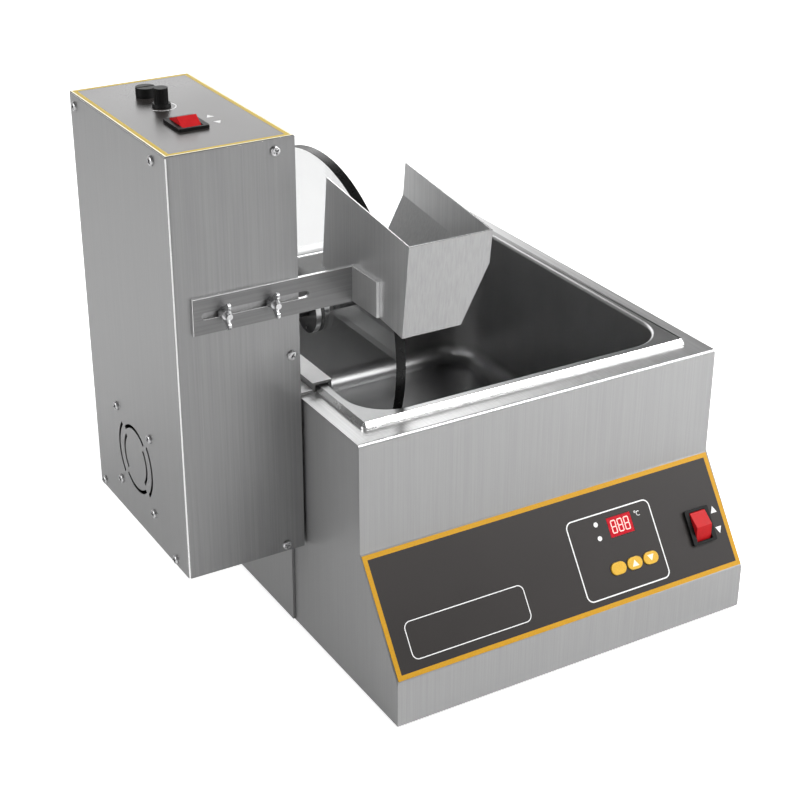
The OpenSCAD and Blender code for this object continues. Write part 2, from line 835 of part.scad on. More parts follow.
// Top plate of the mixer with flanges inside the cover
module mixer_top() {
    color("silver") difference() {
        union() {
            translate([0, 0, mz_t - cover_t - lip_h]) case_lips();
            translate([0, 0, mz_t - cover_t]) linear_extrude(cover_t) cover_outline(0);
        }
        at_cover_screws() shank_hole();
        top_holes(mz_t - 3 * cover_t, 6 * cover_t);
    }
}

// Holes through the mixer's top for its controls
module top_holes(z, h) {
    translate([ctl_px, my_f + fuse_y, z]) cylinder(h = h, r = fuse_r + play);
    translate([ctl_px, my_f + knob_y, z]) cylinder(h = h, r = bush_r + play);
    translate([mx_l + mix_sw_x - body_w / 2 - play, my_f + mix_sw_y - body_l / 2 - play, z])
        cube([body_w + 2 * play, body_l + 2 * play, h]);
}

// Floor of the mixer case
module mixer_base() {
    color("silver") difference() {
        translate([0, 0, mz_0]) {
            linear_extrude(cover_t) case_outline();
            case_lips();
        }
        at_cover_screws() shank_hole();
    }
}

// Right side of the mixer case, with flanges behind the cover's edges and the shaft hole
module mixer_side() {
    z0 = mz_0 + lip_h;
    z1 = mz_t - cover_t - lip_h;
    color("silver") difference() {
        union() {
            span([mx_r - cover_t, my_f + cover_t, mz_0], [mx_r, my_b - cover_t, mz_t - cover_t]);
            span([mx_r - side_lip, my_f + cover_t, z0], [mx_r, my_f + 2 * cover_t, z1]);
            span([mx_r - side_lip, my_b - 2 * cover_t, z0], [mx_r, my_b - cover_t, z1]);
        }
        translate([mx_r - 2 * cover_t, shaft_y, shaft_z]) rotate([0, 90, 0])
            cylinder(h = 4 * cover_t, r = bush_out_r + run_gap);
        at_hanger_bolts() bolt_hole();
        at_cover_screws() shank_hole();
    }
}

// Printed film on the mixer's top
module mixer_film() {
    color("dimgray") difference() {
        span([mx_l + film_in, my_f + film_in, mz_t], [mx_r - film_in, my_b - film_in, mz_t + film_t]);
        top_holes(mz_t - film_t, 3 * film_t);
    }
}

// Places of the bolts that hold the case to the hanger
module at_hanger_bolts() {
    inset = plate_in + bolt_in;
    for (y = [my_f + inset, my_b - inset], z = [mz_0 + bolt_up, z_t - bolt_up])
        translate([mx_r - cover_t, y, z]) rotate([0, 90, 0]) children();
}

// Hole for a hanger bolt through the case's side and the hanger
module bolt_hole() {
    translate([0, 0, -1]) cylinder(h = cover_t + hang_t + 2, r = bolt_r + run_gap);
}

// Hanger: a plate down the tank's side, bent over the top plate and the pan's rim
module hanger() {
    z_s = z_t + seat_gap;
    hook_top = z_t + hook_h;
    lip_z = z_rim - hook_lip;
    color("lightgray") difference() {
        union() {
            span([mx_r, my_f + plate_in, foot_h + plate_z], [mx_r + hang_t, my_b - plate_in, z_s + hang_t]);
            translate([0, my_f + hook_in, 0]) along_y(mixer_d - 2 * hook_in) polygon([[mx_r, z_t - 14],
                [mx_r, z_s + hang_t], [hook_x0, z_s + hang_t], [hook_x0, hook_top], [hook_x1, hook_top],
                [hook_x1, lip_z], [hook_x1 - hang_t, lip_z], [hook_x1 - hang_t, hook_top - hang_t],
                [hook_x0 + hang_t, hook_top - hang_t], [hook_x0 + hang_t, z_s], [mx_r + hang_t, z_s],
                [mx_r + hang_t, z_t - 14]]);
        }
        at_hanger_bolts() bolt_hole();
    }
}

// Bolts with their heads inside the case
module hanger_bolts() {
    color("silver") at_hanger_bolts() {
        cylinder(h = cover_t + hang_t, r = bolt_r);
        translate([0, 0, -bolt_head_h]) cylinder(h = bolt_head_h, r = bolt_head_r, $fn = 6);
    }
}

// Gearbox and motor on the case's right side, with the bearing bore for the shaft
module gear_motor() {
    color("dimgray") translate([flange_in, shaft_y, shaft_z]) rotate([0, -90, 0]) difference() {
        union() {
            cylinder(h = gear_l, r = gear_r);
            translate([0, 0, gear_l]) cylinder(h = motor_l, r = motor_r);
            translate([0, 0, gear_l + motor_l]) cylinder(h = 5, r = 9);
            for (s = [-1, 1])
                translate([s * 14, 0, gear_l + motor_l]) translate([-2, -0.5, 0]) cube([4, 1, 7]);
        }
        translate([0, 0, -1]) cylinder(h = gear_bore + 1, r = shaft_r + run_gap);
    }
}

// Flanged bush round the shaft in the case's right side
module shaft_bush() {
    color("darkgray") translate([mx_r, shaft_y, shaft_z]) rotate([0, 90, 0]) difference() {
        union() {
            translate([0, 0, -cover_t]) cylinder(h = cover_t, r = bush_out_r);
            cylinder(h = bush_flange_t, r = bush_flange_r);
        }
        translate([0, 0, -2 * cover_t]) cylinder(h = 3 * cover_t + bush_flange_t, r = shaft_r + run_gap);
    }
}

// Square fan frame with its duct, spokes and rotor bearing
module fan_frame() {
    spoke_t = 3;
    color("dimgray") translate([mx_l + cover_t, fan_py, fan_pz]) {
        along_x(fan_d) difference() {
            round_rect(fan_s, fan_s, 4);
            circle(duct_r);
            for (sy = [-1, 1], sz = [-1, 1])
                translate([sy * fan_pitch / 2, sz * fan_pitch / 2]) circle(shank_r + play);
        }
        translate([fan_d - spoke_t, 0, 0]) along_x(spoke_t) difference() {
            union() {
                circle(fan_hub_r);
                for (a = [45 : 90 : 315])
                    rotate(a) translate([0, -2]) square([duct_r + 1, 4]);
            }
            circle(1.5 + run_gap);
        }
    }
}

// Fan rotor: hub, pitched blades and spindle
module fan_rotor() {
    spoke_t = 3;
    rotor_d = fan_d - spoke_t - 3;
    color("black") translate([mx_l + cover_t + 2, fan_py, fan_pz]) {
        along_x(rotor_d) circle(fan_hub_r);
        translate([rotor_d, 0, 0]) along_x(spoke_t + 1) circle(1.5);
        intersection() {
            for (i = [0 : fan_blades - 1])
                rotate([i * 360 / fan_blades, 0, 0]) translate([rotor_d / 2, fan_hub_r - 2, 0])
                    rotate([0, 40, 0]) translate([-0.8, 0, -rotor_d * 0.45])
                        cube([1.6, duct_r, rotor_d * 0.9]);
            along_x(rotor_d) circle(duct_r - 1.2);
        }
    }
}

// Drive board on standoffs at the case's right side, with its transformer and capacitor
module drive_board() {
    y0 = shaft_y - drive_w / 2;
    z0 = shaft_z + gear_r + drive_gap;
    x0 = flange_in - drive_up - board_t;
    cap_r = drive_w / 10;
    color("darkgreen") {
        span([x0, y0, z0], [x0 + board_t, y0 + drive_w, z0 + drive_h]);
        for (y = [y0 + 5, y0 + drive_w - 5], z = [z0 + 5, z0 + drive_h - 5])
            translate([x0 + board_t, y, z]) rotate([0, 90, 0]) cylinder(h = drive_up, r = 2.5);
        span([x0 - drive_w / 5, y0 + cap_r, z0 + drive_h * 0.15],
            [x0, shaft_y - cap_r, z0 + drive_h * 0.6]);
        translate([x0, shaft_y + 2 * cap_r, z0 + drive_h * 0.3]) rotate([0, -90, 0])
            cylinder(h = drive_w / 4, r = cap_r);
    }
}

module mixer_inlet() {
    color("black") translate([mx_l + mixer_w / 2, my_b, mz_0 + mix_inlet_z]) inlet();
}

module mixer_switch() {
    color("black") translate([mx_l + mix_sw_x, my_f + mix_sw_y, mz_t]) switch_case();
}

module mixer_rocker() {
    color("red") translate([mx_l + mix_sw_x, my_f + mix_sw_y, mz_t]) switch_rocker();
}

// Fuse holder through the mixer's top
module fuse_holder() {
    color("black") translate([ctl_px, my_f + fuse_y, mz_t]) difference() {
        union() {
            translate([0, 0, film_t]) cylinder(h = 1, r = 8);
            translate([0, 0, -32]) cylinder(h = 32 + film_t, r = fuse_r);
        }
        translate([0, 0, -28]) cylinder(h = 40, r = 4);
    }
}

// Bayonet cap of the fuse holder, with its carrier and driver slot
module fuse_cap() {
    base = film_t + 1 + seat_gap;
    color("black") translate([ctl_px, my_f + fuse_y, mz_t + base]) difference() {
        union() {
            cylinder(h = 7, r = 8.1);
            translate([0, 0, -24]) cylinder(h = 24, r = 4 - run_gap);
        }
        translate([-9, -0.8, 6]) cube([18, 1.6, 3]);
    }
}

// Speed control body under the mixer's top, with its bushing
module speed_pot() {
    color("dimgray") translate([ctl_px, my_f + knob_y, mz_t - cover_t]) difference() {
        union() {
            translate([0, 0, -10]) cylinder(h = 10, r = 8.5);
            cylinder(h = cover_t + film_t + 3, r = bush_r);
        }
        translate([0, 0, -8]) cylinder(h = 30, r = 3 + run_gap);
    }
}

// Turning shaft of the speed control
module pot_shaft() {
    color("silver") translate([ctl_px, my_f + knob_y, mz_t - cover_t - 7.5]) cylinder(h = 20, r = 3);
}

// Skirted knob with a fluted grip
module speed_knob() {
    base = film_t + seat_gap;
    flutes = 18;
    color("black") translate([ctl_px, my_f + knob_y, mz_t + base]) difference() {
        union() {
            cylinder(h = 3, r1 = 7.6, r2 = 7.2);
            cylinder(h = 15.5, r = 5.7);
        }
        translate([0, 0, -1]) cylinder(h = 5, r = bush_r + play);
        translate([0, 0, -1]) cylinder(h = 12.5 - base - cover_t + 1, r = 3);
        for (i = [0 : flutes - 1])
            rotate(i * 360 / flutes) translate([5.95, 0, 4]) cylinder(h = 12, r = 0.55);
    }
}

// Pan-head screw seated at height 0, its shank going down
module pan_screw(len) {
    dome = (head_r * head_r + head_h * head_h) / (2 * head_h);
    intersection() {
        translate([0, 0, head_h - dome]) sphere(dome);
        cylinder(h = head_h, r = head_r);
    }
    translate([0, 0, -len]) cylinder(h = len, r = shank_r);
}

module cover_screws() {
    color("gainsboro") at_cover_screws() pan_screw(cover_screw_l);
}

module fan_screws() {
    color("gainsboro") at_fan_screws() pan_screw(fan_screw_l);
}

// Studs for the scraper on the mixer's front
module scraper_studs() {
    color("silver") for (i = [0, 1])
        translate([stud_px + i * stud_pitch, my_f, slot_z]) rotate([90, 0, 0])
            cylinder(h = stud_l, r = stud_r);
}

// Wing nut on a stud: boss and two ears
module wing_nut(i) {
    ear_r = 2.8;
    ear_t = 2.4;
    ear_y = wing_boss_h + 3;
    color("gainsboro") translate([stud_px + i * stud_pitch, wing_y, slot_z]) rotate([90, 0, 0])
    difference() {
        union() {
            cylinder(h = wing_boss_h, r1 = wing_boss_r, r2 = wing_boss_r - 1);
            for (s = [-1, 1])
                translate([-ear_t / 2, 0, 0]) along_x(ear_t) {
                    translate([s * wing_reach, ear_y]) circle(ear_r);
                    polygon([[s * 2, 0.5], [s * (wing_boss_r - 0.5), 0.5],
                        [s * (wing_reach + ear_r - 0.5), ear_y - 1.2],
                        [s * (wing_reach - 1.8), ear_y + 1.8],
                        [s * 2, wing_boss_h]]);
                }
        }
        translate([0, 0, -1]) cylinder(h = 30, r = stud_r + run_gap);
    }
}

module wing_nut_a() {
    wing_nut(0);
}

module wing_nut_b() {
    wing_nut(1);
}

// Slotted arm on the mixer's front with a flange bent forward along the hopper
module scraper_bracket() {
    x0 = mx_l + arm_in;
    slot_w = 2 * (stud_r + play);
    color("silver") difference() {
        union() {
            span([x0, arm_y - arm_t, arm_z0], [flange_px + arm_t, arm_y, arm_z0 + arm_h]);
            span([flange_px, arm_y - flange_l, arm_z0], [flange_px + arm_t, arm_y, arm_z0 + arm_h]);
        }
        translate([x0 + slot_in + slot_l / 2, arm_y - 2 * arm_t, slot_z]) along_y(4 * arm_t)
            stadium(slot_l, slot_w);
    }
}

// Funnel hopper round the wheel, open at the back and below
module scraper_hopper() {
    toe = hop_w - hop_slant;
    cant = hop_t / cos(atan(hop_slant / (hop_h - hop_up)));
    color("silver") translate([hop_px, hop_py, hop_pz]) rotate([hop_tilt, 0, 0]) {
        along_y(hop_l) translate([0, -hop_h]) square([hop_t, hop_h]);
        along_y(hop_l) polygon([[hop_w - hop_t, 0], [hop_w, 0], [hop_w, -hop_up], [toe, -hop_h],
            [toe - cant, -hop_h], [hop_w - hop_t, -hop_up]]);
        along_y(hop_t) polygon([[0, 0], [hop_w, 0], [hop_w, -hop_up], [toe, -hop_h], [0, -hop_h]]);
    }
}

// Turned place for the wheel's pieces, along the axis from the wheel's left face
module on_axis(x) {
    translate([disc_x + x, shaft_y, shaft_z]) rotate([0, 90, 0]) children();
}

// Shaft from the gearbox through the wheel
module wheel_shaft() {
    start = flange_in - gear_bore + 1 - disc_x;
    color("silver") on_axis(start) cylinder(h = wheel_t + shaft_end - start, r = shaft_r);
}

// Steel flange left of the wheel, with its small screw hole
module hub_flange() {
    color("silver") on_axis(-washer_t - hub_t) difference() {
        cylinder(h = hub_t, r = hub_r);
        translate([0, 0, -1]) cylinder(h = hub_t + 2, r = shaft_r);
        translate([hub_r - 4, 0, -1]) cylinder(h = hub_t, r = 1);
    }
}

// Rubber washer between the flange and the wheel
module hub_washer() {
    color("black") on_axis(-washer_t) difference() {
        cylinder(h = washer_t, r = hub_r);
        translate([0, 0, -1]) cylinder(h = washer_t + 2, r = shaft_r);
    }
}

// Nut that draws the wheel against the flange
module hub_nut() {
    color("silver") on_axis(wheel_t) difference() {
        cylinder(h = nut_l, r = nut_r);
        translate([0, 0, -1]) cylinder(h = nut_l + 2, r = shaft_r);
    }
}

// Clear wheel
module wheel_disc() {
    color("lightcyan") on_axis(0) difference() {
        cylinder(h = wheel_t, r = wheel_r);
        translate([0, 0, -1]) cylinder(h = wheel_t + 2, r = shaft_r);
    }
}

front_skin();
left_side();
right_side();
top_frame();
rear_panel();
base_plate();
feet();
heat_box();
heater_plate();
temp_probe();
control_board();
display_module();
display_window();
panel_film();
power_switch();
power_rocker();
power_inlet();
key_set();
key_up();
key_down();
pan();
mixer_cover();
mixer_top();
mixer_base();
mixer_side();
mixer_film();
hanger();
hanger_bolts();
gear_motor();
shaft_bush();
fan_frame();
fan_rotor();
drive_board();
mixer_inlet();
mixer_switch();
mixer_rocker();
fuse_holder();
fuse_cap();
speed_pot();
pot_shaft();
speed_knob();
cover_screws();
fan_screws();
scraper_studs();
wing_nut_a();
wing_nut_b();
scraper_bracket();
scraper_hopper();
wheel_shaft();
hub_flange();
hub_washer();
hub_nut();
wheel_disc();
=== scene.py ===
# Chocolate melting tank with a clip-on wheel mixer, dressed for its studio picture.
import json
import math
import bpy
from mathutils import Matrix, Vector

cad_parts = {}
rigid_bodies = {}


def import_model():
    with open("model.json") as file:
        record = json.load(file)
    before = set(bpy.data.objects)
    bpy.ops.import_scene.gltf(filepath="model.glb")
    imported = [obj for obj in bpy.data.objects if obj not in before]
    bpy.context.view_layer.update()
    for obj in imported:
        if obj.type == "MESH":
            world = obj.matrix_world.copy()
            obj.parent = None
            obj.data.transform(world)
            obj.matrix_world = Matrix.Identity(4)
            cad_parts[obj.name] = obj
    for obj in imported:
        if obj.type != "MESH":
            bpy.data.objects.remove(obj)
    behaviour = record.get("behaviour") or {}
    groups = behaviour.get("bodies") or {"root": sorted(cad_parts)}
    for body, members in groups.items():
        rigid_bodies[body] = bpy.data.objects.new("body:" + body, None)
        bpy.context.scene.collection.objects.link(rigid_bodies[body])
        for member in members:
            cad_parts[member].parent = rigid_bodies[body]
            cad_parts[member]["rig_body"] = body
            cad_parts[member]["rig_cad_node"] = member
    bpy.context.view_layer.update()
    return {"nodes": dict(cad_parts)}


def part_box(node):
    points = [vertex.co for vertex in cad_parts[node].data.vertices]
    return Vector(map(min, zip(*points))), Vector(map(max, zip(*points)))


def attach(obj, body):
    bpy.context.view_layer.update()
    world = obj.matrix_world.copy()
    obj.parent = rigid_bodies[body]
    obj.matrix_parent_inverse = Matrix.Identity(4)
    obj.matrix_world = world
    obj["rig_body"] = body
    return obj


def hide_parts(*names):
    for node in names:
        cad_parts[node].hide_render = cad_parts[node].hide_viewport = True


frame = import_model()
bpy.context.scene.view_settings.view_transform = "Standard"
MM = 0.001

# Housing of the tank: top plate, front, leaning panel and skirt in one bent sheet, with sides, back and base.
# Stainless sheet, 1.5 mm, rolled with a fine grain that runs up the walls and back over the top plate.
# The bends and cut edges get their small radii here; the sides and back are welded in flush.


def grained(name, dark, light, rough, scale, bump=0.0, broad=None, sockets=()):
    """Finish whose colour, gloss and relief follow one noise, scaled per metre along each axis."""
    made = bpy.data.materials.new(name)
    made.use_nodes = True
    nodes, links = made.node_tree.nodes, made.node_tree.links
    shader = nodes["Principled BSDF"]
    place = nodes.new("ShaderNodeTexCoord")

    def noise_at(stretch, detail):
        turned = nodes.new("ShaderNodeMapping")
        turned.inputs["Scale"].default_value = stretch
        noise = nodes.new("ShaderNodeTexNoise")
        noise.inputs["Scale"].default_value = 1.0
        noise.inputs["Detail"].default_value = detail
        noise.inputs["Roughness"].default_value = 0.62
        links.new(place.outputs["Object"], turned.inputs["Vector"])
        links.new(turned.outputs["Vector"], noise.inputs["Vector"])
        return noise.outputs["Fac"]

    fine = noise_at(scale, 4.0)
    spread = fine
    if broad:
        stretch, share = broad
        both = nodes.new("ShaderNodeMix")
        both.inputs["Factor"].default_value = share
        links.new(fine, both.inputs["A"])
        links.new(noise_at(stretch, 2.0), both.inputs["B"])
        spread = both.outputs["Result"]
    tone = nodes.new("ShaderNodeValToRGB")
    tone.color_ramp.elements[0].position = 0.32
    tone.color_ramp.elements[0].color = (*dark, 1.0)
    tone.color_ramp.elements[1].position = 0.68
    tone.color_ramp.elements[1].color = (*light, 1.0)
    links.new(spread, tone.inputs["Fac"])
    links.new(tone.outputs["Color"], shader.inputs["Base Color"])
    gloss = nodes.new("ShaderNodeMapRange")
    gloss.inputs["From Min"].default_value = 0.3
    gloss.inputs["From Max"].default_value = 0.7
    gloss.inputs["To Min"].default_value = rough[0]
    gloss.inputs["To Max"].default_value = rough[1]
    links.new(spread, gloss.inputs["Value"])
    links.new(gloss.outputs["Result"], shader.inputs["Roughness"])
    if bump:
        relief = nodes.new("ShaderNodeBump")
        relief.inputs["Strength"].default_value = bump
        relief.inputs["Distance"].default_value = 0.0001
        links.new(fine, relief.inputs["Height"])
        links.new(relief.outputs["Normal"], shader.inputs["Normal"])
    for socket, value in dict(sockets).items():
        shader.inputs[socket].default_value = value
    return made


def paint(finish, *nodes):
    """Gives CAD nodes that stay as they are their finish."""
    for node in nodes:
        for held in frame["nodes"][node].material_slots:
            held.material = finish


def deselect():
    bpy.ops.object.select_all(action="DESELECT")


def take(piece):
    """Makes one piece the only selected and active one."""
    deselect()
    piece.select_set(True)
    bpy.context.view_layer.objects.active = piece


WELD = 2e-6
NEAR = 1e-5
FLAT_TURN = math.radians(0.4)


def welded_copy(node, name):
    """Copy of a CAD node as one closed mesh with whole flat faces, ready to be worked on."""
    take(frame["nodes"][node])
    bpy.ops.object.duplicate()
    piece = bpy.context.active_object
    piece.name = name
    bpy.ops.object.parent_clear(type="CLEAR_KEEP_TRANSFORM")
    del piece["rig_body"], piece["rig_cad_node"]
    bpy.ops.object.mode_set(mode="EDIT")
    bpy.ops.mesh.select_all(action="SELECT")
    bpy.ops.mesh.customdata_custom_splitnormals_clear()
    bpy.ops.mesh.remove_doubles(threshold=WELD)
    bpy.ops.mesh.dissolve_limited(angle_limit=FLAT_TURN)
    bpy.ops.object.mode_set(mode="OBJECT")
    return piece


def pick_edges(piece, test):
    """Selects the edges whose ends both pass a test, and leaves edit mode on."""
    take(piece)
    bpy.ops.object.mode_set(mode="EDIT")
    bpy.ops.mesh.select_mode(type="EDGE")
    bpy.ops.mesh.select_all(action="DESELECT")
    bpy.ops.object.mode_set(mode="OBJECT")
    for edge in piece.data.edges:
        edge.select = all(test(piece.data.vertices[v].co) for v in edge.vertices)
    bpy.ops.object.mode_set(mode="EDIT")


def pick_faces(piece, test):
    """Selects the faces that pass a test, and leaves edit mode on."""
    take(piece)
    bpy.ops.object.mode_set(mode="EDIT")
    bpy.ops.mesh.select_mode(type="FACE")
    bpy.ops.mesh.select_all(action="DESELECT")
    bpy.ops.object.mode_set(mode="OBJECT")
    for face in piece.data.polygons:
        face.select = test(face)
    bpy.ops.object.mode_set(mode="EDIT")


SMOOTH_TURN = math.radians(34)


def round_edges(piece, radius, steps=2, sharper=32):
    """Small radius on every edge sharper than an angle, and smooth shading over it."""
    take(piece)
    if radius:
        edge = piece.modifiers.new("edge", "BEVEL")
        edge.width = radius
        edge.segments = steps
        edge.limit_method = "ANGLE"
        edge.angle_limit = math.radians(sharper)
        bpy.ops.object.modifier_apply(modifier="edge")
    bpy.ops.object.shade_smooth_by_angle(angle=SMOOTH_TURN)
    flat = piece.modifiers.new("flat", "WEIGHTED_NORMAL")
    flat.weight = 100
    flat.keep_sharp = True
    bpy.ops.object.modifier_apply(modifier="flat")


def coat(piece, main, *others):
    """Gives a piece one finish, and others to the faces that pass a test."""
    piece.data.materials.clear()
    piece.data.materials.append(main)
    for count, (finish, test) in enumerate(others, 1):
        piece.data.materials.append(finish)
        for face in piece.data.polygons:
            if test(face):
                face.material_index = count


def fix(piece, finish, body, slot, *nodes):
    """Gives a finished piece its finish and fixes it to its body, in place of CAD nodes."""
    if finish:
        piece.data.materials.clear()
        piece.data.materials.append(finish)
    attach(piece, body)
    if nodes:
        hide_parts(*nodes)
    return piece


GRAIN_ACROSS = 640.0
GRAIN_ALONG = 8.0
STEEL_DARK = (0.36, 0.36, 0.363)
STEEL_LIGHT = (0.405, 0.405, 0.405)
UPRIGHT = (GRAIN_ACROSS, GRAIN_ACROSS, GRAIN_ALONG)
SHEET_GLOSS = (0.37, 0.43)
STEEL = {"Metallic": 1.0}
upright_steel = grained("upright_steel", STEEL_DARK, STEEL_LIGHT, SHEET_GLOSS, UPRIGHT, 0.12, None, STEEL)
# A much lighter copy of the tank's steel for the top plate: painted light on the sheet's top.
top_steel_painted_light = grained("top_steel_painted_light", (0.66, 0.66, 0.66), (0.80, 0.80, 0.80), (0.32, 0.44),
                    (GRAIN_ACROSS, GRAIN_ALONG, GRAIN_ACROSS), 0.1,
                    ((26.0, 2.0, 26.0), 0.15), STEEL)
shell = welded_copy("front_skin", "housing_shell")
plate = welded_copy("top_frame", "housing_plate")
seam_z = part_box("front_skin")[1].z
front_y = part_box("top_frame")[0].y
nose_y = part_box("front_skin")[0].y
for sheet in (shell, plate):
    pick_faces(sheet, lambda face: abs(face.center.z - seam_z) < NEAR and abs(face.normal.z) > 0.9)
    bpy.ops.mesh.delete(type="FACE")
    bpy.ops.object.mode_set(mode="OBJECT")
take(shell)
plate.select_set(True)
bpy.ops.object.join()
bpy.ops.object.mode_set(mode="EDIT")
bpy.ops.mesh.select_all(action="SELECT")
bpy.ops.mesh.remove_doubles(threshold=WELD)
bpy.ops.mesh.dissolve_limited(angle_limit=FLAT_TURN)
bpy.ops.object.mode_set(mode="OBJECT")
pick_faces(shell, lambda face: abs(face.normal.x) > 0.9)
bpy.ops.mesh.quads_convert_to_tris(quad_method="BEAUTY", ngon_method="BEAUTY")
bpy.ops.object.mode_set(mode="OBJECT")
BEND_R = 2.2 * MM
BELOW_TOP = 20.0 * MM
SHEET_SOFT = 0.35 * MM
SHARP = 40
panel_slope = max((f for f in frame["nodes"]["panel_film"].data.polygons if f.normal.y < -0.1),
                  key=lambda f: f.area).normal.copy()
bend_high = max(v.co.z for v in shell.data.vertices
                if abs(v.co.y - front_y) < NEAR and v.co.z < seam_z - BELOW_TOP)
bend_low = max(v.co.z for v in shell.data.vertices if abs(v.co.y - nose_y) < NEAR)
pick_edges(shell, lambda p: (abs(p.y - front_y) < NEAR and abs(p.z - bend_high) < NEAR)
           or (abs(p.y - nose_y) < NEAR and abs(p.z - bend_low) < NEAR))
bpy.ops.mesh.bevel(offset=BEND_R, segments=4, affect="EDGES")
bpy.ops.object.mode_set(mode="OBJECT")
round_edges(shell, SHEET_SOFT, 2, SHARP)
# Faces facing up above the seam take the lighter copy: painted light.
coat(shell, upright_steel, (top_steel_painted_light, lambda face: face.normal.z > 0.75 and face.center.z > seam_z))
fix(shell, None, "base", "brushed_steel", "front_skin", "top_frame")
# The side sheets take a darker, less metallic copy of the tank's steel: painted shade on the tank's sides.
side_sheet = grained("side_sheet", (0.31, 0.31, 0.313), (0.345, 0.345, 0.345), SHEET_GLOSS, UPRIGHT, 0.12,
                     None, {"Metallic": 0.55})
paint(side_sheet, "left_side", "right_side")
paint(upright_steel, "rear_panel", "base_plate")

# Feet: four low moulded buffers under the base plate, inside the skirt.
# Black rubber with a matt skin, each screwed up from below.
foot_rubber = grained("foot_rubber", (0.012, 0.012, 0.012), (0.03, 0.03, 0.03), (0.6, 0.8),
                      (900.0, 900.0, 900.0), 0.3)
paint(foot_rubber, "feet")

# Heating: an open box round the pan, the heater plate under it and the probe in its clamp.
# Pressed aluminium, a mica heater and a steel probe, all behind the sheets.
box_metal = grained("box_metal", (0.55, 0.55, 0.56), (0.72, 0.72, 0.73), (0.3, 0.5), (60.0, 60.0, 60.0), 0.1,
                    None, STEEL)
heater_mica = grained("heater_mica", (0.24, 0.17, 0.10), (0.38, 0.29, 0.19), (0.5, 0.75),
                      (180.0, 180.0, 180.0), 0.3)
paint(box_metal, "heat_box", "temp_probe")
paint(heater_mica, "heater_plate")

# Electrics behind the panel: the control board with its push switches, and the digit module.
# Green glass board with a faint weave, and a black moulded module, on standoffs.
board_green = grained("board_green", (0.008, 0.06, 0.025), (0.02, 0.12, 0.05), (0.3, 0.5),
                      (500.0, 500.0, 500.0), 0.1)
black_moulding = grained("black_moulding", (0.004, 0.004, 0.004), (0.010, 0.010, 0.010), (0.42, 0.55),
                         (1500.0, 1500.0, 1500.0), 0.12, None, {"Specular IOR Level": 0.16})
paint(board_green, "control_board")
paint(black_moulding, "display_module")

# Panel film: dark polyester glued on the leaning panel, printed in gold and white.
# A gold border runs round it, with thin pale outlines for the controls and the note field.
# The prints are a few hundredths of a millimetre of ink on the film's face.
PRINT = 0.05 * MM
film_dark = grained("film_dark", (0.020, 0.017, 0.016), (0.026, 0.022, 0.021), (0.44, 0.52),
                    (1200.0, 1200.0, 1200.0), 0.05, ((9.0, 9.0, 9.0), 0.5), {"Specular IOR Level": 0.3})
gold_ink = grained("gold_ink", (0.52, 0.27, 0.012), (0.59, 0.31, 0.020), (0.4, 0.5),
                   (700.0, 700.0, 700.0), 0.05, None, {"Specular IOR Level": 0.2})
white_ink = grained("white_ink", (0.78, 0.78, 0.78), (0.9, 0.9, 0.9), (0.4, 0.55),
                    (900.0, 900.0, 900.0), 0.05)
paint(film_dark, "panel_film")
across_slope = Vector((0.0, panel_slope.z, -panel_slope.y))
film_front = [v.co for v in frame["nodes"]["panel_film"].data.vertices]
film_face = max(p.dot(panel_slope) for p in film_front)
film_top = max(p.dot(across_slope) for p in film_front)
film_left = min(p.x for p in film_front)
FILM_W = (max(p.x for p in film_front) - film_left) / MM
FILM_H = (film_top - min(p.dot(across_slope) for p in film_front)) / MM
film_corner = Vector((film_left, 0.0, 0.0)) + across_slope * film_top + panel_slope * film_face
on_panel = Matrix((
    (1.0, 0.0, 0.0, film_corner.x),
    (0.0, across_slope.y, panel_slope.y, film_corner.y),
    (0.0, across_slope.z, panel_slope.z, film_corner.z),
    (0.0, 0.0, 0.0, 1.0)))


def lay(piece, place):
    """Turns a flat print, drawn in millimetres, into a thin closed layer in its place."""
    take(piece)
    piece.data.transform(Matrix.Scale(MM, 4))
    ink = piece.modifiers.new("ink", "SOLIDIFY")
    ink.thickness = PRINT
    ink.offset = 1.0
    bpy.ops.object.modifier_apply(modifier="ink")
    piece.data.transform(place)
    return piece


def drawn_frame(name, x0, v0, x1, v1, line, corner, place):
    """Printed outline of a field, its corners round, x from the left and v down from the top edge."""
    deselect()
    bpy.ops.mesh.primitive_plane_add(size=1.0)
    piece = bpy.context.active_object
    piece.name = name
    bpy.ops.object.mode_set(mode="EDIT")
    bpy.ops.transform.resize(value=(x1 - x0, v1 - v0, 1.0))
    bpy.ops.transform.translate(value=((x0 + x1) / 2, -(v0 + v1) / 2, 0.0))
    if corner:
        bpy.ops.mesh.bevel(offset=corner, segments=7, affect="VERTICES")
    bpy.ops.mesh.select_all(action="SELECT")
    bpy.ops.mesh.inset(thickness=line)
    bpy.ops.mesh.delete(type="FACE")
    bpy.ops.object.mode_set(mode="OBJECT")
    return lay(piece, place)


def drawn_shape(name, corners, turn, x, v, w, h, place):
    """Printed dot or triangle: a filled ring of corners, w wide and h high."""
    deselect()
    bpy.ops.mesh.primitive_circle_add(vertices=corners, radius=1.0, fill_type="NGON")
    piece = bpy.context.active_object
    piece.name = name
    piece.data.transform(Matrix.Rotation(math.radians(turn), 4, "Z"))
    xs = [p.co.x for p in piece.data.vertices]
    ys = [p.co.y for p in piece.data.vertices]
    mid = Vector(((min(xs) + max(xs)) / 2, (min(ys) + max(ys)) / 2, 0.0))
    bpy.ops.object.mode_set(mode="EDIT")
    bpy.ops.mesh.select_all(action="SELECT")
    bpy.ops.transform.translate(value=-mid)
    bpy.ops.transform.resize(value=(w / (max(xs) - min(xs)), h / (max(ys) - min(ys)), 1.0))
    bpy.ops.transform.translate(value=(x, -v, 0.0))
    bpy.ops.object.mode_set(mode="OBJECT")
    return lay(piece, place)


ARC_STEP = 7
ARC_LEAST = 8


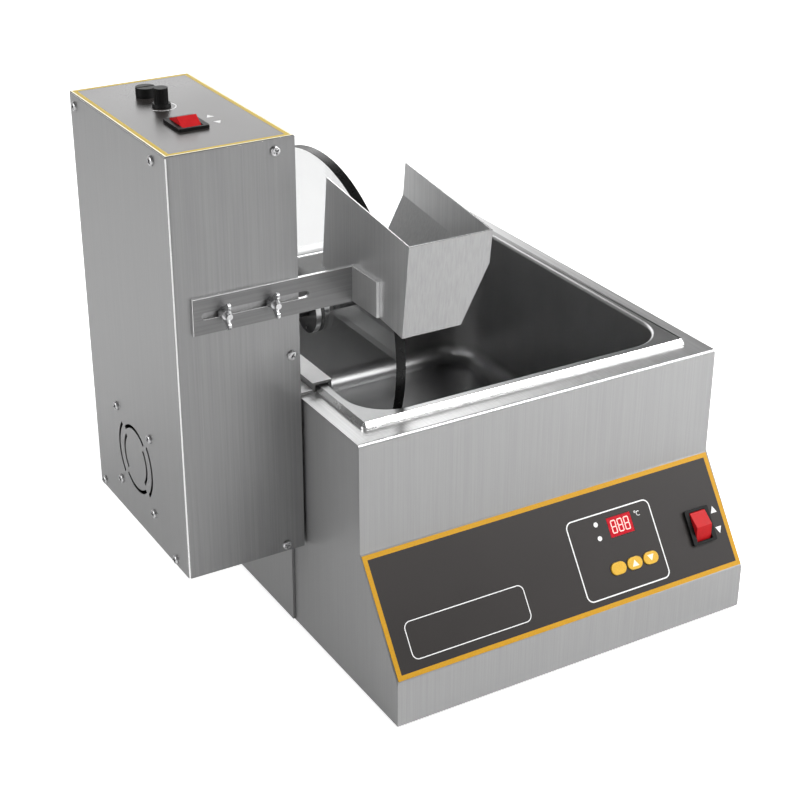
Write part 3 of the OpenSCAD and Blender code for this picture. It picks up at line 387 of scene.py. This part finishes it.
def drawn_arc(name, x, v, r, line, start, end, place):
    """Printed arc from one angle to another, counted round from the right."""
    deselect()
    bpy.ops.mesh.primitive_plane_add(size=line, location=(r, 0.0, 0.0))
    piece = bpy.context.active_object
    piece.name = name
    bpy.ops.object.transform_apply(location=True)
    bpy.ops.object.mode_set(mode="EDIT")
    bpy.ops.mesh.select_all(action="SELECT")
    bpy.ops.mesh.delete(type="ONLY_FACE")
    bpy.ops.object.mode_set(mode="OBJECT")
    pick_edges(piece, lambda p: p.y > 0.0)
    bpy.ops.mesh.select_all(action="INVERT")
    bpy.ops.mesh.delete(type="EDGE")
    bpy.ops.mesh.select_all(action="SELECT")
    bpy.ops.transform.translate(value=(0.0, -line / 2, 0.0))
    bpy.ops.transform.rotate(value=-math.radians(start), orient_axis="Z", center_override=(0.0, 0.0, 0.0))
    steps = max(ARC_LEAST, int(abs(end - start) / ARC_STEP))
    bpy.ops.mesh.spin(steps=steps, angle=-math.radians(end - start),
                      center=(0.0, 0.0, 0.0), axis=(0.0, 0.0, 1.0))
    bpy.ops.mesh.select_all(action="SELECT")
    bpy.ops.mesh.remove_doubles(threshold=1e-4)
    bpy.ops.transform.translate(value=(x, -v, 0.0))
    bpy.ops.object.mode_set(mode="OBJECT")
    if sum(face.normal.z for face in piece.data.polygons) < 0:
        piece.data.flip_normals()
    return lay(piece, place)


def joined(pieces, name):
    """Several like prints as one piece."""
    take(pieces[0])
    for piece in pieces:
        piece.select_set(True)
    bpy.ops.object.join()
    pieces[0].name = name
    return pieces[0]


BORDER = 4.1
DOT, DOT_X, DOT_CORNERS = 4.3, 220.5, 28
ARROW_W, ARROW_H, ARROW_X = 6.5, 6.2, 342.7
fix(drawn_frame("panel_gold_border", 0.0, 0.0, FILM_W, FILM_H, BORDER, 0.0, on_panel), gold_ink, "base", "film")
panel_marks = [
    drawn_frame("controls_outline", 190.7, 23.4, 279.3, 95.0, 1.1, 6.5, on_panel),
    drawn_frame("note_outline", 18.2, 60.3, 134.2, 92.3, 0.8, 6.0, on_panel),
    drawn_shape("heat_dot", DOT_CORNERS, 0.0, DOT_X, 32.4, DOT, DOT, on_panel),
    drawn_shape("level_dot", DOT_CORNERS, 0.0, DOT_X, 44.7, DOT, DOT, on_panel),
    drawn_shape("switch_up_mark", 3, 0.0, ARROW_X, 50.6, ARROW_W, ARROW_H, on_panel),
    drawn_shape("switch_down_mark", 3, 180.0, ARROW_X, 69.6, ARROW_W, ARROW_H, on_panel),
    drawn_arc("degree_ring", 262.4, 31.6, 0.75, 0.45, 0.0, 360.0, on_panel),
    drawn_arc("degree_bow", 265.6, 33.6, 1.9, 0.6, 50.0, 310.0, on_panel),
]
fix(joined(panel_marks, "panel_white_marks"), white_ink, "base", "film")

# Display: a red window set into the panel, with three lit digits on its face.
# Red acrylic with a thin layer of seven-bar digits, bright where they glow.
window_red = grained("window_red", (0.36, 0.008, 0.016), (0.48, 0.016, 0.028), (0.12, 0.2),
                     (300.0, 300.0, 300.0), 0.02, None,
                     {"Emission Color": (0.5, 0.01, 0.02, 1.0), "Emission Strength": 0.22})
digit_glow = grained("digit_glow", (1.0, 0.42, 0.38), (1.0, 0.55, 0.5), (0.4, 0.5),
                     (600.0, 600.0, 600.0), 0.0, None,
                     {"Emission Color": (1.0, 0.45, 0.42, 1.0), "Emission Strength": 0.55})
paint(window_red, "display_window")
window_low, window_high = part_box("display_window")
DIGIT_W, DIGIT_H, DIGIT_PITCH = 5.4, 11.8, 6.9
BAR, BAR_GAP, BAR_POINT = 0.95, 0.2, 0.42
DIGIT_X = (window_low.x + window_high.x) / 2 / MM - film_left / MM
DIGIT_V = 38.6


def digit_bar(name, x, v, long, upright):
    """One bar of a digit, its ends cut to blunt points."""
    deselect()
    bpy.ops.mesh.primitive_plane_add(size=1.0)
    piece = bpy.context.active_object
    piece.name = name
    bpy.ops.object.mode_set(mode="EDIT")
    bpy.ops.transform.resize(value=(BAR, long, 1.0) if upright else (long, BAR, 1.0))
    bpy.ops.mesh.bevel(offset=BAR_POINT * BAR, segments=1, affect="VERTICES")
    bpy.ops.mesh.select_all(action="SELECT")
    bpy.ops.transform.translate(value=(x, -v, 0.0))
    bpy.ops.object.mode_set(mode="OBJECT")
    return lay(piece, on_panel)


bars = []
for place in (-1, 0, 1):
    x = DIGIT_X + place * DIGIT_PITCH
    for level in (-1, 0, 1):
        bars.append(digit_bar("digit_bar", x, DIGIT_V + level * (DIGIT_H - BAR) / 2, DIGIT_W - BAR, False))
    for side in (-1, 1):
        for half in (-1, 1):
            bars.append(digit_bar("digit_bar", x + side * (DIGIT_W - BAR) / 2,
                                  DIGIT_V + half * (DIGIT_H - BAR) / 4,
                                  (DIGIT_H - BAR) / 2 - BAR_GAP, True))
fix(joined(bars, "display_digits"), digit_glow, "base", "red_window")

# Keys: three gold caps in a row under the display, two of them with an arrow.
# Moulded plastic with a satin face and a soft rim; each slides in the panel and presses its switch.
key_gold = grained("key_gold", (0.62, 0.35, 0.02), (0.74, 0.44, 0.035), (0.28, 0.4),
                   (900.0, 900.0, 900.0), 0.08)
arrow_ink = grained("arrow_ink", (0.92, 0.86, 0.6), (1.0, 0.95, 0.75), (0.4, 0.5),
                    (900.0, 900.0, 900.0), 0.05)
KEY_V = 73.7
KEY_RISE = 1.2
KEY_SOFT = 0.35 * MM
KEY_ARROW_W, KEY_ARROW_H = 6.8, 5.6
for key, turn in (("key_set", None), ("key_up", 0.0), ("key_down", 180.0)):
    cap = welded_copy(key, key + "_cap")
    round_edges(cap, KEY_SOFT, 3)
    fix(cap, key_gold, key, "gold_key", key)
    if turn is not None:
        low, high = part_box(key)
        key_x = (low.x + high.x) / 2 / MM - film_left / MM
        key_face = on_panel @ Matrix.Translation((0.0, 0.0, KEY_RISE * MM))
        arrow = drawn_shape(key + "_arrow", 3, turn, key_x, KEY_V, KEY_ARROW_W, KEY_ARROW_H, key_face)
        fix(arrow, arrow_ink, key, "gold_key")

# Rocker switches: a black bezel and body snapped into the sheet, with a red rocker on two pins.
# Satin moulded plastic; one switch is on the leaning panel and the other on the mixer's top.
red_moulding = grained("red_moulding", (0.47, 0.009, 0.012), (0.53, 0.012, 0.015), (0.45, 0.55),
                       (260.0, 260.0, 260.0), 0.02, None, {"Specular IOR Level": 0.15})
BEZEL_SOFT = 0.6 * MM
ROCKER_SOFT, ROCKER_SHARP = 0.5 * MM, 20
for node, body in (("power_switch", "base"), ("mixer_switch", "mixer")):
    bezel = welded_copy(node, node + "_bezel")
    round_edges(bezel, BEZEL_SOFT, 3)
    fix(bezel, black_moulding, body, "black_plastic", node)
for node in ("power_rocker", "mixer_rocker"):
    rocker = welded_copy(node, node + "_cap")
    round_edges(rocker, ROCKER_SOFT, 3, ROCKER_SHARP)
    fix(rocker, red_moulding, node, "red_plastic", node)

# Mains inlets: black sockets with three blades, one on each back.
# Moulded plastic, screwed to the sheet.
SOCKET_SOFT = 0.5 * MM
for node, body in (("power_inlet", "base"), ("mixer_inlet", "mixer")):
    socket = welded_copy(node, node + "_socket")
    round_edges(socket, SOCKET_SOFT, 2)
    fix(socket, black_moulding, body, "black_plastic", node)

# Pan: a deep drawn pan that drops into the top plate, with a rim that slopes off to a low skirt.
# Stainless steel, satin grey inside; the rim's slope and skirt take a near-white copy of the steel, a painted
# highlight.
# The inside is painted darker towards the floor, painted shade in the deep pan; the rim's slope is formed on
# both faces, and the pan lifts out.
CLOUD = ((12.0, 12.0, 12.0), 0.4)
SATIN = (60.0, 60.0, 60.0)
bowl_steel = grained("bowl_steel", (0.43, 0.43, 0.433), (0.48, 0.48, 0.48), (0.31, 0.38),
                     (60.0, 60.0, 14.0), 0.02, CLOUD, STEEL)
lip_steel = grained("lip_steel", (0.40, 0.40, 0.403), (0.47, 0.47, 0.47), (0.28, 0.36),
                    SATIN, 0.02, CLOUD, STEEL)
# Near-white copy of the steel: a painted highlight, used on rims, bends and top edges.
painted_highlight_steel = grained("painted_highlight_steel", (0.86, 0.86, 0.86), (0.95, 0.95, 0.95), (0.20, 0.30),
                       SATIN, 0.02, CLOUD, STEEL)
PAN_SHEET = 1.0 * MM
RIM_SLOPE = 3.2 * MM
RIM_CORNER = 4.2 * MM
SLOPE_SHIFT = 0.586 * PAN_SHEET
LIP_DEEP = 3.0 * MM
PAN_SOFT = 0.25 * MM
pan = welded_copy("pan", "drawn_pan")
pan_low, pan_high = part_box("pan")
# The bowl's colour is scaled down towards the floor: painted shade.
FLOOR_SHADE, SHADE_RISE = 0.33, 24.0 * MM
bowl_nodes, bowl_links = bowl_steel.node_tree.nodes, bowl_steel.node_tree.links
bowl_colour = bowl_nodes["Principled BSDF"].inputs["Base Color"]
bowl_tone = bowl_colour.links[0].from_socket
bowl_place = bowl_nodes.new("ShaderNodeTexCoord")
bowl_height = bowl_nodes.new("ShaderNodeSeparateXYZ")
bowl_links.new(bowl_place.outputs["Object"], bowl_height.inputs[0])
floor_shade = bowl_nodes.new("ShaderNodeMapRange")
floor_shade.interpolation_type = "SMOOTHSTEP"
floor_shade.inputs["From Min"].default_value = pan_low.z + PAN_SHEET
floor_shade.inputs["From Max"].default_value = pan_low.z + SHADE_RISE
floor_shade.inputs["To Min"].default_value = FLOOR_SHADE
bowl_links.new(bowl_height.outputs["Z"], floor_shade.inputs["Value"])
shaded = bowl_nodes.new("ShaderNodeVectorMath")
shaded.operation = "SCALE"
bowl_links.new(bowl_tone, shaded.inputs[0])
bowl_links.new(floor_shade.outputs["Result"], shaded.inputs["Scale"])
bowl_links.new(shaded.outputs[0], bowl_colour)


def rim_inset(p):
    """How far a point lies inside the rim's outline, across and along."""
    return min(p.x - pan_low.x, pan_high.x - p.x), min(p.y - pan_low.y, pan_high.y - p.y)


for deep, width in ((0.0, RIM_SLOPE), (PAN_SHEET, RIM_SLOPE - SLOPE_SHIFT)):
    pick_edges(pan, lambda p: abs(p.z - pan_high.z + deep) < NEAR
               and (abs(min(rim_inset(p)) - deep) < NEAR or max(rim_inset(p)) < RIM_CORNER))
    bpy.ops.mesh.bevel(offset=width, segments=1, affect="EDGES")
    bpy.ops.object.mode_set(mode="OBJECT")
round_edges(pan, PAN_SOFT, 2, SHARP)
# The rim's slope and skirt take the near-white copy, a painted highlight.
coat(pan, bowl_steel, (lip_steel, lambda face: face.normal.z > 0.5 and face.center.z > pan_high.z - LIP_DEEP),
     (painted_highlight_steel, lambda face: min(rim_inset(face.center)) < RIM_SLOPE))
fix(pan, None, "pan", "polished_steel", "pan")

# Mixer case: a cover bent round front, left and back, with a top plate, a floor and the right side.
# The same brushed sheet, 1.2 mm; the fan's arc slots are cut in the left side. The cover's left face is a
# lighter copy of the steel than its front, painted light and painted shade, and its front-left bend and the
# lid's bevels are painted highlights.
COVER_SOFT, LID_SOFT = 0.3 * MM, 0.8 * MM
BEND_FACING = 0.985
case_steel = grained("case_steel", (0.26, 0.26, 0.263), (0.305, 0.305, 0.305), SHEET_GLOSS, UPRIGHT, 0.12,
                     None, STEEL)
cover = welded_copy("mixer_cover", "mixer_cover_sheet")
round_edges(cover, COVER_SOFT, 2, SHARP)
front_bend = Vector((-1.0, -1.0, 0.0)).normalized()
# Left face in the lighter steel, painted light; front-left bend in the near-white copy, a painted highlight.
coat(cover, case_steel, (upright_steel, lambda face: face.normal.x < -0.9),
     (painted_highlight_steel, lambda face: face.normal.dot(front_bend) > BEND_FACING))
fix(cover, None, "mixer", "brushed_steel", "mixer_cover")
lid = welded_copy("mixer_top", "mixer_lid")
round_edges(lid, LID_SOFT, 3, SHARP)
# The lid's bevels in the near-white copy: painted highlight.
coat(lid, case_steel, (painted_highlight_steel, lambda face: 0.1 < face.normal.z < 0.98))
fix(lid, None, "mixer", "brushed_steel", "mixer_top")
paint(case_steel, "mixer_base", "mixer_side")

# Case screws: pan-head screws with a cross recess, in the cover and round the fan.
# Zinc plated steel with a faint mottle, driven by hand, so each cross stands at its own turn.
zinc_steel = grained("zinc_steel", (0.50, 0.50, 0.51), (0.70, 0.70, 0.70), (0.22, 0.38),
                     (400.0, 400.0, 400.0), 0.1, None, STEEL)
HEAD_R = 4.0 * MM
HEAD_H = 2.2 * MM
HEAD_SOFT = 1.3 * MM
HEAD_GAP = 0.05 * MM
FIRST_TURN, NEXT_TURN = 12.0, 37.0
CROSS_L, CROSS_W, CROSS_D = 5.0 * MM, 1.4 * MM, 1.4 * MM
deselect()
bpy.ops.mesh.primitive_cylinder_add(vertices=48, radius=HEAD_R, depth=HEAD_H)
screw_head = bpy.context.active_object
screw_head.name = "screw_head"
pick_edges(screw_head, lambda p: p.z > 0.0)
bpy.ops.mesh.bevel(offset=HEAD_SOFT, segments=6, affect="EDGES")
bpy.ops.mesh.select_all(action="SELECT")
bpy.ops.transform.translate(value=(0.0, 0.0, HEAD_H / 2 + HEAD_GAP))
bpy.ops.object.mode_set(mode="OBJECT")
for turn in (0.0, 90.0):
    deselect()
    bpy.ops.mesh.primitive_cube_add(size=1.0)
    tool = bpy.context.active_object
    bpy.ops.object.mode_set(mode="EDIT")
    bpy.ops.transform.resize(value=(CROSS_L, CROSS_W, 2 * CROSS_D))
    bpy.ops.transform.rotate(value=math.radians(turn), orient_axis="Z", center_override=(0.0, 0.0, 0.0))
    bpy.ops.transform.translate(value=(0.0, 0.0, HEAD_H))
    bpy.ops.object.mode_set(mode="OBJECT")
    take(screw_head)
    cut = screw_head.modifiers.new("cut", "BOOLEAN")
    cut.operation = "DIFFERENCE"
    cut.object = tool
    bpy.ops.object.modifier_apply(modifier="cut")
    bpy.data.objects.remove(tool)
round_edges(screw_head, 0.0)


def screw_seats(node):
    """Centre and outward direction of every screw in a CAD node, from its separate bodies."""
    welded_copy(node, "loose_screws")
    bpy.ops.object.mode_set(mode="EDIT")
    bpy.ops.mesh.select_all(action="SELECT")
    bpy.ops.mesh.separate(type="LOOSE")
    bpy.ops.object.mode_set(mode="OBJECT")
    seats = []
    for piece in list(bpy.context.selected_objects):
        points = [v.co for v in piece.data.vertices]
        low = Vector(min(p[k] for p in points) for k in range(3))
        high = Vector(max(p[k] for p in points) for k in range(3))
        axis = max(range(3), key=lambda k: (high - low)[k] if k < 2 else 0.0)
        seat = (low + high) / 2
        seat[axis] = low[axis] + HEAD_H
        out = Vector((0.0, 0.0, 0.0))
        out[axis] = -1.0
        seats.append((seat, out))
        bpy.data.objects.remove(piece)
    return seats


for node in ("cover_screws", "fan_screws"):
    heads = []
    for count, (seat, out) in enumerate(screw_seats(node)):
        take(screw_head)
        bpy.ops.object.duplicate()
        head = bpy.context.active_object
        head.data.transform(Matrix.Translation(seat) @ out.to_track_quat("Z", "Y").to_matrix().to_4x4()
                            @ Matrix.Rotation(math.radians(NEXT_TURN * count + FIRST_TURN), 4, "Z"))
        heads.append(head)
    fix(joined(heads, node + "_heads"), zinc_steel, "mixer", "satin_steel", node)
bpy.data.objects.remove(screw_head)

# Mixer film: a dark printed film on the mixer's top, with a gold border inside a thin pale line that is a
# painted highlight of the lid's edge.
# Two arrows stand beside the switch and an arc scale lies round the knob.
mixer_film_dark = grained("mixer_film_dark", (0.030, 0.027, 0.026), (0.040, 0.036, 0.034), (0.26, 0.34),
                          (1200.0, 1200.0, 1200.0), 0.05, ((9.0, 9.0, 9.0), 0.5), {"Specular IOR Level": 0.43})
paint(mixer_film_dark, "mixer_film")
top_low, top_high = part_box("mixer_film")
on_top = Matrix.Translation((top_low.x, top_high.y, top_high.z))
TOP_W = (top_high.x - top_low.x) / MM
TOP_D = (top_high.y - top_low.y) / MM
EDGE_LINE = 1.3
GOLD_LINE = 3.4
mixer_gold = grained("mixer_gold", (0.50, 0.34, 0.008), (0.57, 0.40, 0.014), (0.4, 0.5),
                     (700.0, 700.0, 700.0), 0.05, None, {"Specular IOR Level": 0.15})
pale_edge_painted_highlight = grained("pale_edge_painted_highlight", (0.95, 0.88, 0.62), (1.0, 0.94, 0.72), (0.4, 0.55),
                   (900.0, 900.0, 900.0), 0.05)
# A pale line round the film's edge stands in for the lid's lit edge: painted highlight.
fix(drawn_frame("mixer_edge_painted_highlight", 0.0, 0.0, TOP_W, TOP_D, EDGE_LINE, 0.0, on_top), pale_edge_painted_highlight, "mixer", "film")
fix(drawn_frame("mixer_gold_border", EDGE_LINE, EDGE_LINE, TOP_W - EDGE_LINE, TOP_D - EDGE_LINE,
                GOLD_LINE, 0.0, on_top), mixer_gold, "mixer", "film")
knob_low, knob_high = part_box("speed_knob")
KNOB_X = (knob_low.x + knob_high.x) / 2 / MM - top_low.x / MM
KNOB_V = top_high.y / MM - (knob_low.y + knob_high.y) / 2 / MM
MARK_X = -161.1 - top_low.x / MM
MARK_V = top_high.y / MM
MARK_W, MARK_H = 6.4, 6.2
mixer_marks = [
    drawn_shape("mixer_back_mark", 3, 0.0, MARK_X, MARK_V + 1.5, MARK_W, MARK_H, on_top),
    drawn_shape("mixer_front_mark", 3, 180.0, MARK_X, MARK_V + 19.3, MARK_W, MARK_H, on_top),
    drawn_arc("speed_scale", KNOB_X, KNOB_V, 11.5, 0.9, -150.0, 75.0, on_top),
]
fix(joined(mixer_marks, "mixer_white_marks"), white_ink, "mixer", "film")

# Mixer controls: the speed knob on its shaft and the bayonet cap of the fuse.
# Black moulded plastic; the knob has a fluted grip over a skirt, and the cap a slot in its top.
CAP_SOFT = 0.1 * MM
knob = welded_copy("speed_knob", "speed_knob_cap")
round_edges(knob, 0.0)
fix(knob, black_moulding, "knob", "black_plastic", "speed_knob")
fuse = welded_copy("fuse_cap", "fuse_cap_shell")
round_edges(fuse, CAP_SOFT, 2, SHARP)
fix(fuse, black_moulding, "fuse_cap", "black_plastic", "fuse_cap")

# Inside the mixer: the gear motor, the fan, the drive board, the fuse holder and the speed control.
# Painted motor cans, moulded fan and holders; the fan shows through the arc slots.
motor_paint = grained("motor_paint", (0.06, 0.06, 0.065), (0.10, 0.10, 0.105), (0.4, 0.55),
                      (300.0, 300.0, 300.0), 0.1)
paint(motor_paint, "gear_motor", "speed_pot")
paint(black_moulding, "fan_frame", "fan_rotor", "fuse_holder")
paint(board_green, "drive_board")
paint(zinc_steel, "hanger_bolts", "pot_shaft")

# Hanger: a plate down the tank's side, bent over the top plate and the pan's rim.
# Stainless sheet, 2.5 mm, bolted to the mixer's right side; it hooks on and lifts off.
HANGER_SOFT = 0.8 * MM
hanger = welded_copy("hanger", "hanger_plate")
round_edges(hanger, HANGER_SOFT, 3, SHARP)
# Near-white matt copy of the steel for the hook's top: painted light.
painted_light_white = grained("painted_light_white", (0.90, 0.90, 0.90), (0.97, 0.97, 0.97), (0.4, 0.5), SATIN, 0.02,
                     None, {"Metallic": 0.0})
# Faces facing up take the near-white copy: painted light on the hook's top.
coat(hanger, upright_steel, (painted_light_white, lambda face: face.normal.z > 0.5))
fix(hanger, None, "mixer", "brushed_steel", "hanger")

# Wheel: a clear disc drawn between a steel flange and a nut, with a dark washer, on the motor's shaft.
# Cast acrylic with a dark edge; turned steel shaft, flange and nut.
TURNED = (90.0, 90.0, 90.0)
WHEEL_SOFT = 0.4 * MM
EDGE_DEEP = 0.8 * MM
turned_steel = grained("turned_steel", (0.60, 0.60, 0.605), (0.78, 0.78, 0.78), (0.26, 0.38), TURNED, 0.04,
                       None, STEEL)
shaft_steel = grained("shaft_steel", (0.10, 0.10, 0.101), (0.16, 0.16, 0.16), (0.34, 0.46), TURNED, 0.04,
                      None, STEEL)
clear_acrylic = grained("clear_acrylic", (0.73, 0.735, 0.735), (0.75, 0.755, 0.755), (0.0, 0.01),
                        (40.0, 40.0, 40.0), 0.0, None, {"Transmission Weight": 1.0, "IOR": 1.49})
clear_nodes, clear_links = clear_acrylic.node_tree.nodes, clear_acrylic.node_tree.links
light_kind = clear_nodes.new("ShaderNodeLightPath")
let_through = clear_nodes.new("ShaderNodeBsdfTransparent")
let_through.inputs["Color"].default_value = (0.9, 0.9, 0.9, 1.0)
shade = clear_nodes.new("ShaderNodeMixShader")
clear_links.new(light_kind.outputs["Is Shadow Ray"], shade.inputs["Fac"])
clear_links.new(clear_nodes["Principled BSDF"].outputs["BSDF"], shade.inputs[1])
clear_links.new(let_through.outputs["BSDF"], shade.inputs[2])
clear_links.new(shade.outputs["Shader"], clear_nodes["Material Output"].inputs["Surface"])
dark_edge = grained("dark_edge", (0.004, 0.004, 0.004), (0.008, 0.008, 0.008), (0.24, 0.34),
                    (200.0, 200.0, 200.0), 0.02, None, {"Specular IOR Level": 0.16})
paint(turned_steel, "hub_nut", "shaft_bush")
paint(shaft_steel, "wheel_shaft")
paint(foot_rubber, "hub_washer")
flange = welded_copy("hub_flange", "hub_flange_ring")
round_edges(flange, WHEEL_SOFT, 2, SHARP)
# Its flat faces take the dark shaft steel and the rim the bright turned steel: the dark on the faces is painted
# shade.
coat(flange, turned_steel, (shaft_steel, lambda face: abs(face.normal.x) > 0.7))
fix(flange, None, "wheel", "satin_steel", "hub_flange")
disc = welded_copy("wheel_disc", "clear_wheel")
disc_low, disc_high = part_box("wheel_disc")
axle = (disc_low + disc_high) / 2
WHEEL_R = disc_high.z - axle.z
round_edges(disc, WHEEL_SOFT, 2, SHARP)
coat(disc, clear_acrylic, (dark_edge, lambda face: math.hypot(face.center.y - axle.y, face.center.z - axle.z)
                           > WHEEL_R - EDGE_DEEP))
fix(disc, None, "wheel", "clear_plastic", "wheel_disc")

# Scraper: a slotted arm on the mixer's front, with a funnel hopper welded to its flange.
# Stainless sheet, the arm 3 mm and the hopper 1.5 mm; two wing nuts clamp the arm on its studs.
# The grain runs along the arm and up the hopper's walls.
ARM_SOFT, HOPPER_SOFT, NUT_SOFT = 0.5 * MM, 0.4 * MM, 0.5 * MM
HOPPER_SHARP = 15
FLANGE_FROM = 20.0 * MM
ARM_END = 0.6 * MM
FLANGE_END = 1.0 * MM
arm_steel = grained("arm_steel", (0.17, 0.17, 0.172), (0.22, 0.22, 0.22), (0.34, 0.46),
                    (GRAIN_ALONG, GRAIN_ACROSS, GRAIN_ACROSS), 0.1, None, STEEL)
hopper_steel = grained("hopper_steel", (0.34, 0.34, 0.343), (0.41, 0.41, 0.41), (0.30, 0.42),
                       UPRIGHT, 0.1, None, STEEL)
# Lighter copy of the hopper's steel for its left wall: painted light.
side_steel_painted_light = grained("side_steel_painted_light", (0.62, 0.62, 0.624), (0.72, 0.72, 0.72), (0.32, 0.42),
                     UPRIGHT, 0.08, None, STEEL)
# Lighter copy of the arm's steel for the flange's outer face: painted light.
flange_steel_painted_light = grained("flange_steel_painted_light", (0.50, 0.50, 0.503), (0.56, 0.56, 0.56), (0.32, 0.42),
                       UPRIGHT, 0.08, None, {"Metallic": 0.8})
arm = welded_copy("scraper_bracket", "scraper_arm")
round_edges(arm, ARM_SOFT, 2, SHARP)
arm_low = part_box("scraper_bracket")[0]
# The flange's outer face is painted light; the top and end faces and the flange's front edge are painted
# highlights, in near-white and turned steel.
coat(arm, arm_steel,
     (flange_steel_painted_light, lambda face: face.normal.x < -0.9 and face.center.x > arm_low.x + FLANGE_FROM),
     (painted_highlight_steel, lambda face: face.normal.z > 0.3 or face.center.x < arm_low.x + ARM_END),
     (turned_steel, lambda face: face.normal.y < -0.9 and face.center.y < arm_low.y + FLANGE_END))
fix(arm, None, "scraper", "brushed_steel", "scraper_bracket")
hopper = welded_copy("scraper_hopper", "scraper_funnel")
round_edges(hopper, HOPPER_SOFT, 2, HOPPER_SHARP)
# Left wall in the lighter copy, painted light; top edges in the near-white copy, a painted highlight.
coat(hopper, hopper_steel, (side_steel_painted_light, lambda face: face.normal.x < -0.5),
     (painted_highlight_steel, lambda face: face.normal.z > 0.75))
fix(hopper, None, "scraper", "brushed_steel", "scraper_hopper")
paint(zinc_steel, "scraper_studs")
for node in ("wing_nut_a", "wing_nut_b"):
    nut = welded_copy(node, node + "_cast")
    round_edges(nut, NUT_SOFT, 3, SHARP)
    fix(nut, zinc_steel, node, "satin_steel", node)

# Studio: a pale floor that shows white to the camera and keeps a soft shadow, and a soft sky.
# The sky is bright low down and dim overhead, as in a room with large side lights.
# Mirrors and the clear wheel get less of the floor's glow than the camera does.
FLOOR_SIZE = 12.0
FLOOR_Z = -0.0005
deselect()
bpy.ops.mesh.primitive_plane_add(size=FLOOR_SIZE, location=(0.0, 0.0, FLOOR_Z))
floor = bpy.context.active_object
floor.name = "studio_floor"
floor_white = bpy.data.materials.new("floor_white")
floor_white.use_nodes = True
floor_nodes, floor_links = floor_white.node_tree.nodes, floor_white.node_tree.links
floor_nodes.remove(floor_nodes["Principled BSDF"])
chalk = floor_nodes.new("ShaderNodeBsdfDiffuse")
chalk.inputs["Color"].default_value = (0.82, 0.82, 0.82, 1.0)
glow = floor_nodes.new("ShaderNodeEmission")
CAMERA_GLOW, THROUGH_GLOW, MIRROR_GLOW = 0.75, 0.32, 0.12
path = floor_nodes.new("ShaderNodeLightPath")
mirrored = floor_nodes.new("ShaderNodeMath")
mirrored.operation = "MULTIPLY"
mirrored.inputs[1].default_value = MIRROR_GLOW
floor_links.new(path.outputs["Is Glossy Ray"], mirrored.inputs[0])
through = floor_nodes.new("ShaderNodeMath")
through.operation = "MULTIPLY_ADD"
through.inputs[1].default_value = THROUGH_GLOW
floor_links.new(path.outputs["Is Transmission Ray"], through.inputs[0])
floor_links.new(mirrored.outputs[0], through.inputs[2])
lit = floor_nodes.new("ShaderNodeMath")
lit.operation = "MULTIPLY_ADD"
lit.inputs[1].default_value = CAMERA_GLOW
floor_links.new(path.outputs["Is Camera Ray"], lit.inputs[0])
floor_links.new(through.outputs[0], lit.inputs[2])
floor_links.new(lit.outputs[0], glow.inputs["Strength"])
both = floor_nodes.new("ShaderNodeAddShader")
floor_links.new(chalk.outputs[0], both.inputs[0])
floor_links.new(glow.outputs[0], both.inputs[1])
floor_links.new(both.outputs[0], floor_nodes["Material Output"].inputs["Surface"])
floor.data.materials.append(floor_white)

sky = bpy.data.worlds.new("studio_sky")
bpy.context.scene.world = sky
sky.use_nodes = True
sky_nodes, sky_links = sky.node_tree.nodes, sky.node_tree.links
aim = sky_nodes.new("ShaderNodeTexCoord")
split = sky_nodes.new("ShaderNodeSeparateXYZ")
sky_links.new(aim.outputs["Generated"], split.inputs[0])
height = sky_nodes.new("ShaderNodeValToRGB")
height.color_ramp.elements[0].position = 0.0
height.color_ramp.elements[0].color = (0.9, 0.9, 0.9, 1.0)
height.color_ramp.elements[1].position = 1.0
height.color_ramp.elements[1].color = (0.12, 0.12, 0.12, 1.0)
for level, value in ((0.12, 0.8), (0.32, 0.14)):
    step = height.color_ramp.elements.new(level)
    step.color = (value, value, value, 1.0)
sky_links.new(split.outputs["Z"], height.inputs["Fac"])
whole = sky_nodes.new("ShaderNodeMix")
whole.data_type = "RGBA"
path = sky_nodes.new("ShaderNodeLightPath")
sky_links.new(path.outputs["Is Camera Ray"], whole.inputs["Factor"])
sky_links.new(height.outputs["Color"], whole.inputs["A"])
whole.inputs["B"].default_value = (1.0, 1.0, 1.0, 1.0)
sky_links.new(whole.outputs["Result"], sky_nodes["Background"].inputs["Color"])


def soft_light(name, place, aim_at, wide, high, power):
    """Large soft lamp that faces a point."""
    deselect()
    bpy.ops.object.light_add(type="AREA", location=place)
    lamp = bpy.context.active_object
    lamp.name = name
    lamp.data.shape = "RECTANGLE"
    lamp.data.size = wide
    lamp.data.size_y = high
    lamp.data.energy = power
    lamp.rotation_euler = (Vector(aim_at) - Vector(place)).to_track_quat("-Z", "Y").to_euler()


soft_light("back_light", (0.62, 2.65, 1.6), (0.0, 0.0, 0.25), 2.2, 1.5, 27.0)
soft_light("top_light", (1.28, -1.15, 2.15), (0.0, -0.1, 0.2), 1.1, 0.9, 60.0)
soft_light("left_light", (-2.4, 0.2, 1.2), (0.0, 0.0, 0.25), 1.6, 1.6, 30.0)
soft_light("right_light", (1.5, -1.0, 0.7), (0.6, -0.55, 0.0), 0.7, 0.6, 11.0)

# Camera: at the photo's place, from the front left and above the tank.
# Its place, turn and lens were solved from the straight edges that show there.
CAMERA_PLACE = (-0.69569, -1.20200, 0.86500)
deselect()
bpy.ops.object.camera_add(location=CAMERA_PLACE)
camera = bpy.context.active_object
camera.name = "studio_camera"
camera.data.sensor_fit = "HORIZONTAL"
camera.data.sensor_width = 36.0
camera.data.lens = 77.553
camera.data.clip_end = 50.0
look = Vector((0.454739, 0.769342, -0.448693))
right = Vector((0.861852, -0.507144, 0.003901))
up = Vector((0.224551, 0.388481, 0.893677))
camera.rotation_euler = Matrix((right, up, -look)).transposed().to_euler()
bpy.context.scene.camera = camera
